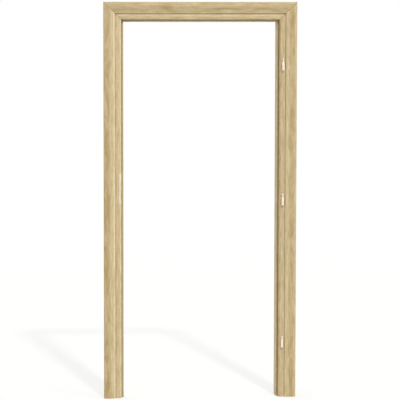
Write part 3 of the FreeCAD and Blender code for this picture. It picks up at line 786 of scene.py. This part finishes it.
@dataclass(frozen=True)
class Opening:
    """Places that every member shares, in millimetres, read from the solids."""

    half_width: float
    height: float
    middle_back: float

    @classmethod
    def from_solids(cls, recess: float = 10.0) -> "Opening":
        """Measure the clear opening, and where the architraves' face lies from front to back.

        Args:
            recess: how far the jambs' face lies behind the architraves' face.

        Returns:
            The shared places.
        """
        jamb_low, jamb_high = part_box("strike_jamb")
        head_low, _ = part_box("head_jamb")
        places = (-jamb_high.x / MM, head_low.z / MM, recess - jamb_low.y / MM)
        return cls(*(round(place, 3) for place in places))

    def place(self, run: Run, out: np.ndarray, back: np.ndarray, along: np.ndarray) -> np.ndarray:
        """Turn section sizes and a distance along the member into metres in the frame.

        Args:
            run: which member.
            out: distance outwards from the opening.
            back: distance behind the architraves' face.
            along: height on an upright, and the place across the opening on the head.

        Returns:
            The points, with x, y and z last.
        """
        y = back - self.middle_back
        if run is Run.HEAD:
            return np.stack([along, y, self.height + out], axis=-1) * MM
        return np.stack([run.value * (self.half_width + out), y, along], axis=-1) * MM


@dataclass(frozen=True)
class Section:
    """A member's outline: for each corner its out, back and radius, and the cover of the side that
    starts there."""

    rows: Sequence[tuple[float, float, float, Surface]]

    def outline(self) -> tuple[np.ndarray, np.ndarray]:
        """The rounded outline and the cover of each of its sides.

        Returns:
            Points in millimetres, and the number of each side's cover.
        """
        places = np.array([row[:3] for row in self.rows], dtype=float)
        points, source = rounded(places[:, :2], places[:, 2])
        return points, np.array([self.rows[number][3].value for number in source])


@dataclass
class Member:
    """One long mitred member, swept from its section.

    The section is carried from the foot, or from the other mitre, to a plane at 45 degrees: a point
    that lies further out ends by just as much further along. Both ends are eased. The easing of a
    mitre cuts through the film to the board, and is drawn a little wide, so the joint shows as the
    fine brown line that the real one has: the bare cut edge, darkened as painted shade of the gap.
    """

    name: str
    run: Run
    section: Section
    slot: str
    roll: tuple[float, float]
    ease: float = 0.35
    mitre_step: float = 1.0

    def sweep(self, opening: Opening, materials: Sequence[bpy.types.Material]) -> bpy.types.Object:
        """Carry the section along the member and close both ends.

        Args:
            opening: the shared places.
            materials: the film, or other skin, the bare board, and the cut edge with its painted
                shade.

        Returns:
            The new piece.
        """
        full, covers = self.section.outline()
        count = len(full)
        eased = inset(full, self.ease)
        rings = [eased, full, full, eased]
        out = np.stack([ring[:, 0] for ring in rings])
        back = np.stack([ring[:, 1] for ring in rings])
        step = self.mitre_step
        if self.run is Run.HEAD:
            reach = opening.half_width + out
            along = np.stack([-reach[0], -reach[1] + step, reach[2] - step, reach[3]])
        else:
            reach = opening.height + out
            along = np.stack([
                np.zeros(count), np.full(count, self.ease), reach[2] - step, reach[3]])
        points = opening.place(self.run, out, back, along).reshape(-1, 3)
        walls = grid_faces(len(rings), count)
        ends = [list(range(count)), list(range(3 * count, 4 * count))]
        across = np.append(0, np.cumsum(np.linalg.norm(np.roll(full, -1, axis=0) - full, axis=1)))
        left, right = across[:-1], across[1:]
        across_walls = np.tile(np.stack([left, right, right, left], axis=1), (len(rings) - 1, 1))
        flat_walls = np.stack([across_walls, along.reshape(-1)[walls]], axis=-1).reshape(-1, 2)
        flat_ends = np.concatenate([np.stack([out[ring], back[ring]], axis=-1) for ring in (0, 3)])
        flat = np.concatenate([flat_walls, flat_ends]) * MM + np.array(self.roll)
        # The eased ring at a mitre wears the bare cut edge, darkened as painted shade of the
        # joint's gap.
        cut_edge_and_shade = np.full(count, Surface.SHADED_CUT.value)
        first_edge = cut_edge_and_shade if self.run is Run.HEAD else covers
        finishes = np.concatenate([first_edge, covers, cut_edge_and_shade, [Surface.RAW.value] * 2])
        return make_piece(self.name, points, walls.tolist() + ends, materials, finishes, flat)


def box_tool(opening: Opening, run: Run, out: tuple[float, float], back: tuple[float, float],
             along: tuple[float, float], material: bpy.types.Material) -> bpy.types.Object:
    """A box that cuts a member.

    Args:
        opening: the shared places.
        run: which member it cuts.
        out: its reach outwards from the opening.
        back: its reach backwards.
        along: its reach along the member.
        material: what the cut shows.

    Returns:
        The tool.
    """
    corners = box_points((out[0], back[0], along[0]), (out[1], back[1], along[1]))
    points = opening.place(run, corners[:, 0], corners[:, 1], corners[:, 2])
    return make_piece("cutting_box", points, BOX_FACES, [material])


@dataclass(frozen=True)
class KeySeat:
    """The L-shaped seat of a corner key in the hidden face of two mitred trims."""

    out: tuple[float, float]
    back: tuple[float, float]
    leg: float = 54.0
    play: float = 0.2
    past: float = 1.0

    def sink(self, piece: bpy.types.Object, opening: Opening, run: Run,
             material: bpy.types.Material) -> None:
        """Cut the seat into one member: one leg of it at each of the member's mitres.

        Args:
            piece: the member.
            opening: the shared places.
            run: which member it is.
            material: what the cut shows.
        """
        out = (self.out[0] - self.play, self.out[1] + self.play)
        edge = opening.half_width if run is Run.HEAD else opening.height
        along = (edge + self.out[1] - self.leg - self.play, edge + out[1] + self.past)
        ends = [along, (-along[1], -along[0])] if run is Run.HEAD else [along]
        for reach in ends:
            cut(piece, box_tool(opening, run, out, self.back, reach, material))


RUNS = {"left": Run.LEFT, "right": Run.RIGHT, "head": Run.HEAD}
FILM, RAW = Surface.FILM, Surface.RAW


@dataclass
class Lining:
    """The three rebated jambs: a front block beside the leaf's edge, and a panel behind it.

    groove and kerf hold the inner side, the outer side and the end of the slots for the rear trim
    and for the seal. pockets holds, for the latch and for the bolt, how far the pocket's middle
    lies above the strike line, and half its height.
    """

    opening: Opening
    palette: Palette
    stop_width: float = 12.0
    rebate_depth: float = 28.0
    rebate_round: float = 4.0
    stop_round: float = 3.0
    band_width: float = 32.0
    band_recess: float = 10.0
    block_depth: float = 40.0
    panel_thick: float = 22.0
    wall_rear: float = 96.0
    groove: tuple[float, float, float] = (7.7, 14.3, 56.0)
    kerf: tuple[float, float, float] = (6.0, 9.0, 45.4)
    edge: float = 0.4
    joint_round: float = 1.2
    cut_face: float = 14.0
    strike_line: float = 1103.0
    strike_half: float = 82.7
    strike_depth: float = 1.5
    strike_legs: tuple[float, float] = (12.2, 24.2)
    pockets: tuple[tuple[float, float], ...] = ((39.0, 19.0), (-39.0, 23.0))
    pocket_deep: float = 22.0
    pocket_back: tuple[float, float] = (6.0, 21.0)
    spare: float = 5.0
    stud_radius: float = 4.1
    stud_out: float = 32.0

    def section(self, joint: Surface) -> Section:
        """The jamb's outline, with the seal's kerf in the stop and the groove for the rear trim.

        Args:
            joint: what the front block shows in its joint with the architrave.

        Returns:
            The section.
        """
        band, stop = self.band_recess, self.band_recess + self.rebate_depth
        outer, block = self.stop_width + self.band_width, self.band_recess + self.block_depth
        groove_in, groove_out, groove_back = self.groove
        kerf_in, kerf_out, kerf_back = self.kerf
        rear = self.wall_rear
        rows = [
            (self.stop_width, band, self.rebate_round, FILM),
            (outer, band, self.joint_round, joint),
            (outer, band + self.cut_face, 0, RAW), (outer, block, self.edge, RAW),
            (self.panel_thick, block, self.edge, RAW), (self.panel_thick, rear, self.edge, RAW),
            (groove_out, rear, self.edge, RAW), (groove_out, groove_back, 0, RAW),
            (groove_in, groove_back, 0, RAW), (groove_in, rear, self.edge, RAW),
            (0, rear, self.edge, FILM), (0, stop, self.stop_round, FILM),
            (kerf_in, stop, 0, RAW), (kerf_in, kerf_back, 0, RAW), (kerf_out, kerf_back, 0, RAW),
            (kerf_out, stop, 0, FILM), (self.stop_width, stop, 0, FILM),
        ]
        return Section(rows)

    def seat_strike(self, jamb: bpy.types.Object) -> None:
        """Sink the strike plate's two legs into the jamb, and open the pockets behind its holes."""
        up = (self.strike_line - self.strike_half, self.strike_line + self.strike_half)
        band, stop = self.band_recess, self.stop_width
        depth, spare = self.strike_depth, self.spare
        leg_out, leg_back = self.strike_legs
        low, high = self.pocket_back
        seats = [((-spare, stop + leg_out), (band - spare, band + depth), up),
                 ((stop - spare, stop + depth), (band - spare, band + leg_back), up)]
        for rise, half in self.pockets:
            middle = self.strike_line + rise
            seats.append(((stop - 1, stop + self.pocket_deep), (band + low, band + high),
                          (middle - half, middle + half)))
        for out, back, height in seats:
            cut(jamb, box_tool(self.opening, Run.LEFT, out, back, height, self.palette.board))

    def bore_studs(self, jamb: bpy.types.Object, heights: Sequence[float]) -> None:
        """Bore the hinges' stud holes through the front block."""
        length, radius = self.band_recess + self.block_depth + self.spare, self.stud_radius
        for height in heights:
            foot = self.opening.place(Run.RIGHT, self.stud_out, 0.0, height)
            cut(jamb, lathe("boring_bit", [(0, 0), (radius, 0), (radius, length), (0, length)],
                            (0, 0, 0, 0), foot, "Y", self.palette.board, 32))

    def build(self, stud_heights: Sequence[float]) -> None:
        """Make the three jambs.

        Args:
            stud_heights: heights of the hinge studs, in millimetres.
        """
        nodes = {Run.LEFT: "strike_jamb", Run.RIGHT: "hinge_jamb", Run.HEAD: "head_jamb"}
        # The rolls shift the print on each jamb; on the left one they lay the pale line where
        # planks meet on the band's rounded rebate edge, as a painted highlight.
        rolls = {Run.LEFT: (0.302, 0.2), Run.RIGHT: (1.078, 4.4), Run.HEAD: (2.259, 11.3)}
        for run, node in nodes.items():
            # On the right jamb and the head, the joint with the architrave wears the dark cut edge
            # as painted shade where the architrave's step casts its shadow; the left one faces the
            # light, and its film wraps round.
            joint = Surface.FILM if run is Run.LEFT else Surface.SHADED_CUT
            member = Member(f"{node}_board", run, self.section(joint), "oak_wrap", rolls[run])
            piece = member.sweep(self.opening, self.palette.skins)
            if run is Run.LEFT:
                self.seat_strike(piece)
            if run is Run.RIGHT:
                self.bore_studs(piece, stud_heights)
            place_piece(piece, [node])


@dataclass
class Architraves:
    """The three angular front architraves: a crowned face, and a leg on the jamb's outer side."""

    opening: Opening
    palette: Palette
    inner_out: float = 44.0
    width: float = 60.0
    thick: float = 16.0
    inner_drop: float = 0.4
    outer_drop: float = 4.0
    crown_radius: float = 350.0
    face_round: float = 4.5
    leg_thick: float = 8.0
    leg_back: float = 46.0
    edge: float = 0.5
    wrap: float = 9.0
    leg_bare: float = 20.0
    seat: KeySeat = KeySeat((67.0, 81.0), (13.0, 17.0))

    def crown(self, count: int = 15) -> np.ndarray:
        """Inner points of the crowned face.

        The face is an arc of one radius over the chord between its two edges: each point stands
        off the chord by the arc's height above it at that place.

        Args:
            count: points between the two edges.

        Returns:
            Out and back of each point.
        """
        start = np.array([self.inner_out, self.inner_drop])
        end = np.array([self.inner_out + self.width, self.outer_drop])
        chord = np.linalg.norm(end - start)
        along = (end - start) / chord
        forward = np.array([along[1], -along[0]])
        share = np.linspace(0, 1, count + 2)[1:-1, None]
        offset = (share - 0.5) * chord
        deep = math.sqrt(self.crown_radius ** 2 - (chord / 2) ** 2)
        rise = np.sqrt(self.crown_radius ** 2 - offset ** 2) - deep
        return start + along * share * chord + forward * rise

    def section(self) -> Section:
        """The architrave's outline; the film wraps round the outer edge and on to the back.

        Returns:
            The section.
        """
        inner, outer = self.inner_out, self.inner_out + self.width
        leg = inner + self.leg_thick
        face = [(*point, 0, FILM) for point in self.crown()[1:-1].tolist()]
        rows = [(inner, self.inner_drop, self.face_round, FILM), *face,
                (outer, self.outer_drop, self.face_round, FILM),
                (outer, self.thick, self.edge, FILM),
                (outer - self.wrap, self.thick, 0, RAW), (leg, self.thick, 0, RAW),
                (leg, self.leg_back, self.edge, RAW), (inner, self.leg_back, self.edge, RAW),
                (inner, self.leg_back - self.leg_bare, 0, FILM)]
        return Section(rows)

    def build(self) -> None:
        """Make the three architraves."""
        # On the left architrave the roll lays the pale line where planks meet on the rounded inner
        # edge, as a painted highlight.
        rolls = {"left": (3.36, 13.05), "right": (4.543, 17.7), "head": (5.4545, 23.1)}
        for side, run in RUNS.items():
            member = Member(
                f"{side}_architrave_board", run, self.section(), "oak_wrap", rolls[side])
            piece = member.sweep(self.opening, self.palette.skins)
            self.seat.sink(piece, self.opening, run, self.palette.board)
            place_piece(piece, [f"{side}_architrave"])


@dataclass
class RearTrims:
    """The three rear trims, whose tongues slide in the jambs' grooves to suit the wall."""

    opening: Opening
    palette: Palette
    width: float = 80.0
    front: float = 96.0
    thick: float = 12.0
    face_round: float = 4.0
    tongue: tuple[float, float, float] = (8.0, 14.0, 62.0)
    edge: float = 0.4
    wrap: float = 9.0
    seat: KeySeat = KeySeat((43.0, 57.0), (95.0, 99.0))

    def section(self) -> Section:
        """The trim's outline: a flat board with rounded rear edges, and the tongue in front of it.

        Returns:
            The section.
        """
        rear = self.front + self.thick
        tongue_in, tongue_out, tongue_front = self.tongue
        rows = [
            (0, self.front, self.edge, FILM), (tongue_in, self.front, 0, FILM),
            (tongue_in, tongue_front, self.edge, FILM), (tongue_out, tongue_front, self.edge, RAW),
            (tongue_out, self.front, 0, RAW), (self.width - self.wrap, self.front, 0, FILM),
            (self.width, self.front, self.edge, FILM), (self.width, rear, self.face_round, FILM),
            (0, rear, self.face_round, FILM),
        ]
        return Section(rows)

    def build(self) -> None:
        """Make the three rear trims."""
        rolls = {"left": (6.63, 28.4), "right": (7.71, 33.9), "head": (8.25, 38.2)}
        for side, run in RUNS.items():
            member = Member(f"{side}_rear_trim_board", run, self.section(), "oak_wrap", rolls[side])
            piece = member.sweep(self.opening, self.palette.skins)
            self.seat.sink(piece, self.opening, run, self.palette.board)
            place_piece(piece, [f"{side}_rear_trim"])


@dataclass
class Seals:
    """The seal in the rebate's corner: a soft bulb on a stem with small barbs in the kerf."""

    opening: Opening
    palette: Palette
    stop_back: float = 38.0
    middle: float = 7.5
    width: float = 8.4
    height: float = 5.0
    wall: float = 1.3
    stem_half: float = 1.05
    stem_length: float = 7.0
    tip: float = 0.6
    tip_half: float = 0.55
    barbs: int = 4
    barb: float = 0.2
    barb_rise: tuple[float, float] = (0.9, 0.8)
    bulb_points: int = 19

    def section(self) -> Section:
        """The seal's outline: the bulb is half an oval, and the stem's barbs point forwards.

        Returns:
            The section.
        """
        half, stem, (foot, top) = self.width / 2, self.stem_half, self.barb_rise
        turn = np.linspace(math.pi, 0, self.bulb_points)
        crown = self.height - self.wall
        bulb = np.stack([half * np.cos(turn), -self.wall - crown * np.sin(turn)], axis=1)
        side = [(half, 0, 0.2), (stem, 0, 0)]
        for deep in np.linspace(1 / self.barbs, 1, self.barbs) * (self.stem_length - self.tip):
            side += [(stem, deep - foot, 0), (stem + self.barb, deep - top, 0), (stem, deep, 0)]
        side += [(self.tip_half, self.stem_length, 0.2)]
        shape = [(*point, 0) for point in bulb.tolist()] + side
        shape += [(-out, deep, radius) for out, deep, radius in reversed(side)]
        return Section([(self.middle + out, self.stop_back + deep, radius, FILM)
                        for out, deep, radius in shape])

    def build(self) -> None:
        """Make the three seals."""
        for number, (side, run) in enumerate(RUNS.items()):
            member = Member(f"{side}_seal_extrusion", run, self.section(), "seal",
                            (0.1 * number, 2.6 * number), 0.15)
            piece = member.sweep(self.opening, [self.palette.seal] * len(Surface))
            place_piece(piece, [f"{side}_seal"])


@dataclass
class PinHinge:
    """Frame half of one pin hinge: barrel, pin, washer, threaded stud, anchor and two screws."""

    name: str
    line: float
    opening: Opening
    palette: Palette
    out: float = 32.0
    back: float = -2.0
    barrel_radius: float = 7.0
    barrel_height: float = 43.0
    chamfer: float = 1.2
    pin_seat: float = 21.0
    pin_seat_radius: float = 4.3
    pin_radius: float = 4.0
    pin_proud: float = 20.0
    pin_round: float = 3.0
    neck_radius: float = 3.8
    neck: float = 0.5
    washer_radius: float = 6.3
    washer_thick: float = 1.5
    stud_radius: float = 4.0
    stud_drop: float = 29.0
    stud_length: float = 60.0
    collar_radius: float = 6.0
    collar: tuple[float, float] = (10.5, 12.0)
    thread_pitch: float = 1.25
    thread_depth: float = 0.55
    thread_rows: int = 6
    thread_facets: int = 36
    lead_in: float = 0.8

    def spot(self, height: float) -> Vector:
        """A place on the hinge's axis, in metres."""
        return Vector(self.opening.place(Run.RIGHT, self.out, self.back, height))

    def barrel(self) -> bpy.types.Object:
        """The barrel: a turned bar with eased rims and the pin's bore from above."""
        seat, high, ease = self.barrel_height - self.pin_seat, self.barrel_height, self.chamfer
        corners = [(0, 0), (self.barrel_radius - ease, 0), (self.barrel_radius, ease),
                   (self.barrel_radius, high - ease), (self.barrel_radius - ease, high),
                   (self.pin_seat_radius, high), (self.pin_seat_radius, seat), (0, seat)]
        radii = (0, 0.5, 0.5, 0.5, 0.5, 0.2, 0, 0)
        return lathe(f"hinge_{self.name}_turned_barrel", corners, radii,
                     self.spot(self.line - high), "Z", self.palette.turned_nickel)

    def pin(self) -> bpy.types.Object:
        """The pin: pressed in below, with a relief above the washer and a domed top."""
        top, seat = self.pin_seat + self.pin_proud, self.pin_seat + self.washer_thick
        corners = [(0, 0), (self.pin_seat_radius, 0), (self.pin_seat_radius, seat),
                   (self.neck_radius, seat), (self.neck_radius, seat + self.neck),
                   (self.pin_radius, seat + self.neck), (self.pin_radius, top), (0, top)]
        radii = (0, 0.2, 0, 0, 0, 0, self.pin_round, 0)
        return lathe(f"hinge_{self.name}_domed_pin", corners, radii,
                     self.spot(self.line - self.pin_seat), "Z", self.palette.turned_nickel)

    def washer(self) -> bpy.types.Object:
        """The nylon bearing washer, a ring with eased rims."""
        inner, outer, thick = self.pin_seat_radius, self.washer_radius, self.washer_thick
        corners = [(inner, 0), (outer, 0), (outer, thick), (inner, thick)]
        return lathe(f"hinge_{self.name}_bearing_washer", corners, (0.3,) * 4,
                     self.spot(self.line), "Z", self.palette.natural_nylon, ring=True)

    def stud(self) -> bpy.types.Object:
        """The stud: a thread that winds round it, apart from the plain collar.

        The radius falls from the crest by the thread's depth and comes back once in each pitch, and
        that phase turns with the angle, so the ridge is a helix.
        """
        facets, long, pitch = self.thread_facets, self.stud_length, self.thread_pitch
        rows = int(long / pitch * self.thread_rows)
        length = np.linspace(0, long, rows)[:, None]
        angle = np.linspace(0, 2 * math.pi, facets, endpoint=False)[None, :]
        phase = (length / pitch - angle / (2 * math.pi)) % 1.0
        groove = 1 - np.abs(2 * phase - 1)
        fade = np.clip(np.minimum(length, long - length) / pitch, 0, 1)
        radius = self.stud_radius - self.thread_depth * groove - (1 - fade) * self.lead_in
        inside = (length >= self.collar[0]) & (length <= self.collar[1])
        radius = np.where(inside, self.collar_radius, radius)
        height = np.repeat(length, facets, axis=1)
        points = np.stack([radius * np.cos(angle), height, radius * np.sin(angle)], axis=-1)
        ends = [list(range(facets)), list(range((rows - 1) * facets, rows * facets))]
        foot = np.array(self.spot(self.line - self.stud_drop))
        return make_piece(
            f"hinge_{self.name}_threaded_stud", points.reshape(-1, 3) * MM + foot,
            grid_faces(rows, facets).tolist() + ends, [self.palette.turned_nickel])

    def build(self) -> None:
        """Make the hinge's pieces."""
        prefix = f"hinge_{self.name}"
        place_piece(self.barrel(), [f"{prefix}_barrel"])
        place_piece(self.pin(), [f"{prefix}_pin"])
        place_piece(self.washer(), [f"{prefix}_washer"])
        place_piece(self.stud(), [f"{prefix}_stud"])
        zinc = self.palette.zinc
        soften(f"{prefix}_anchor", f"{prefix}_cast_anchor", zinc, 0.4)
        soften(f"{prefix}_screws", f"{prefix}_anchor_screws", zinc, 0.12)


@dataclass
class StrikePlate:
    """The folded strike plate on the left jamb, with its three screws."""

    palette: Palette
    edge: float = 0.3

    def build(self) -> None:
        """Make the plate and its screws."""
        soften("strike_plate", "strike_folded_plate",
               self.palette.pressed_nickel, self.edge)
        soften("strike_plate_screws", "strike_countersunk_screws",
               self.palette.zinc, 0.12)


@dataclass
class CornerJoints:
    """What holds the mitres: steel plates with screws, dowels, and nylon keys in the trims."""

    palette: Palette

    def build(self) -> None:
        """Make the hardware of both top corners."""
        zinc, nylon = self.palette.zinc, self.palette.nylon
        for side in ("left", "right"):
            for node, name, slot, material, edge in (
                    ("corner_plate", "joint_plate", "zinc_steel", zinc, 0.25),
                    ("corner_screws", "joint_screws", "zinc_steel", zinc, 0.12),
                    ("corner_dowels", "joint_dowels", "dowel_wood", self.palette.beech, 0.2),
                    ("architrave_key", "architrave_joint_key", "nylon", nylon, 0.25),
                    ("rear_key", "rear_joint_key", "nylon", nylon, 0.25)):
                soften(f"{side}_{node}", f"{side}_{name}", material, edge)


@dataclass(frozen=True)
class Lamp:
    """A distant soft lamp: its strength, its width in the sky in degrees, and its direction."""

    name: str
    strength: float
    softness: float
    source: tuple[float, float, float]
    colour: tuple[float, float, float] = (1.0, 0.985, 0.96)
    distance: float = 6.0

    def build(self) -> None:
        """Hang the lamp, turned towards the object."""
        data = bpy.data.lights.new(self.name, "SUN")
        data.energy, data.angle, data.color = (
            self.strength, math.radians(self.softness), self.colour)
        lamp = bpy.data.objects.new(self.name, data)
        lamp.rotation_euler = Vector(self.source).to_track_quat("Z", "Y").to_euler()
        lamp.location = Vector(self.source).normalized() * self.distance
        bpy.context.scene.collection.objects.link(lamp)


@dataclass
class Studio:
    """Pale floor, plain soft light, and the camera at the photograph's viewing angle."""

    rings: tuple[float, ...] = (0.5, 3.0, 9.0, 24.0, 60.0)
    facets: int = 96
    fade: float = 12.0
    lift: float = 0.72
    sky: float = 0.54
    lamps: tuple[Lamp, ...] = (
        Lamp("key_softbox", 1.35, 4.0, (1.55, -7.27, 6.69)),
        Lamp("left_fill", 0.12, 40.0, (-9.0, -6.0, 3.0)),
        Lamp("right_fill", 0.4, 40.0, (8.0, -5.2, 3.0)),
        Lamp("rear_fill", 0.6, 30.0, (-6.0, 10.0, 7.0)))
    camera_place: tuple[float, float, float] = (-0.762, -10.095, 1.959)
    yaw: float = 3.14
    pitch: float = 4.48
    lens_ratio: float = 4.847
    shift: tuple[float, float] = (0.100, -0.060)

    def floor(self) -> None:
        """A wide pale floor that keeps the object's shadow and fades to white far from it."""
        angle = np.linspace(0, 2 * math.pi, self.facets, endpoint=False)
        radius = np.array(self.rings)[:, None]
        place = [radius * np.cos(angle), radius * np.sin(angle), radius * np.zeros(self.facets)]
        faces = grid_faces(len(radius), self.facets).tolist() + [list(range(self.facets))]
        mesh = bpy.data.meshes.new("studio_floor")
        mesh.from_pydata(np.stack(place, axis=-1).reshape(-1, 3).tolist(), [], faces)
        floor = bpy.data.objects.new("studio_floor", mesh)
        bpy.context.scene.collection.objects.link(floor)
        material, node = new_material("matt_white_floor")
        seen = node("Math", {0: node("LightPath", out="Is Camera Ray"),
                             1: node("LightPath", out="Is Glossy Ray")}, operation="MAXIMUM")
        distance = node("VectorMath", {0: node("TexCoord", out="Object")}, "Value",
                        operation="LENGTH")
        share = node("Math", {0: distance, 1: self.fade}, operation="DIVIDE")
        far = node("ValToRGB", {0: share}, stops=((0.15, grey(0.0)), (0.6, grey(1.0))))
        paint = node("Mix", {0: seen, 6: linear("F0F0EE"), 7: linear("959593")}, 2,
                     data_type="RGBA")
        matt = node("BsdfDiffuse", {"Color": paint, "Roughness": 0.0})
        glow, lift = (node("Emission", {"Color": grey(1.0), "Strength": strength})
                      for strength in (1.0, self.lift))
        raised = node("AddShader", {0: matt, 1: lift})
        near = node("MixShader", {0: seen, 1: matt, 2: raised})
        faded = node("Math", {0: seen, 1: far}, operation="MULTIPLY")
        node("OutputMaterial", {"Surface": node("MixShader", {0: faded, 1: near, 2: glow})})
        mesh.materials.append(material)

    def world(self) -> None:
        """White where the camera or a reflection sees it, and an even soft light for the rest."""
        world = bpy.data.worlds.new("white_studio")
        world.use_nodes = True
        world.node_tree.nodes.clear()
        node = partial(add, world.node_tree)
        seen = node("LightPath", out="Is Camera Ray")
        for ray in ("Is Glossy Ray", "Is Transmission Ray"):
            seen = node("Math", {0: seen, 1: node("LightPath", out=ray)}, operation="MAXIMUM")
        soft, white = (node("Background", {"Color": colour, "Strength": strength})
                       for colour, strength in ((linear("FCFBF8"), self.sky), (grey(1.0), 1.0)))
        node("OutputWorld", {"Surface": node("MixShader", {0: seen, 1: soft, 2: white})})
        bpy.context.scene.world = world

    def camera(self) -> None:
        """The camera, a little to the left of the object and high, with a long lens."""
        data = bpy.data.cameras.new("studio_camera")
        data.sensor_width = 36.0
        data.lens = self.lens_ratio * data.sensor_width
        data.shift_x, data.shift_y = self.shift
        data.clip_start, data.clip_end = 0.1, 200.0
        camera = bpy.data.objects.new("studio_camera", data)
        camera.location = self.camera_place
        camera.rotation_euler = (math.radians(90 - self.pitch), 0.0, math.radians(-self.yaw))
        bpy.context.scene.collection.objects.link(camera)
        bpy.context.scene.camera = camera

    def build(self) -> None:
        """Set up the whole studio."""
        self.floor()
        self.world()
        for lamp in self.lamps:
            lamp.build()
        self.camera()
        bpy.context.scene.view_settings.view_transform = "Standard"


@dataclass
class DoorFrame:
    """The whole door frame, built sub-assembly by sub-assembly."""

    opening: Opening
    palette: Palette
    hinge_lines: dict[str, float]
    stud_drop: float = 29.0

    def build(self) -> None:
        """Build the sub-assemblies in order."""
        studs = [line - self.stud_drop for line in self.hinge_lines.values()]
        Lining(self.opening, self.palette).build(studs)
        Architraves(self.opening, self.palette).build()
        RearTrims(self.opening, self.palette).build()
        Seals(self.opening, self.palette).build()
        for name, line in self.hinge_lines.items():
            PinHinge(name, line, self.opening, self.palette).build()
        StrikePlate(self.palette).build()
        CornerJoints(self.palette).build()


def hinge_lines() -> dict[str, float]:
    """Height of each hinge barrel's top, in millimetres, read from the solids."""
    return {name: round(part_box(f"hinge_{name}_barrel")[1].z / MM, 3)
            for name in ("top", "middle", "bottom")}


def main() -> None:
    """Load the solids, dress them, and set up the studio."""
    logging.basicConfig(level=logging.INFO, format="%(name)s: %(message)s")
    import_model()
    DoorFrame(Opening.from_solids(), Palette(), hinge_lines()).build()
    Studio().build()


if __name__ == "__main__":
    main()
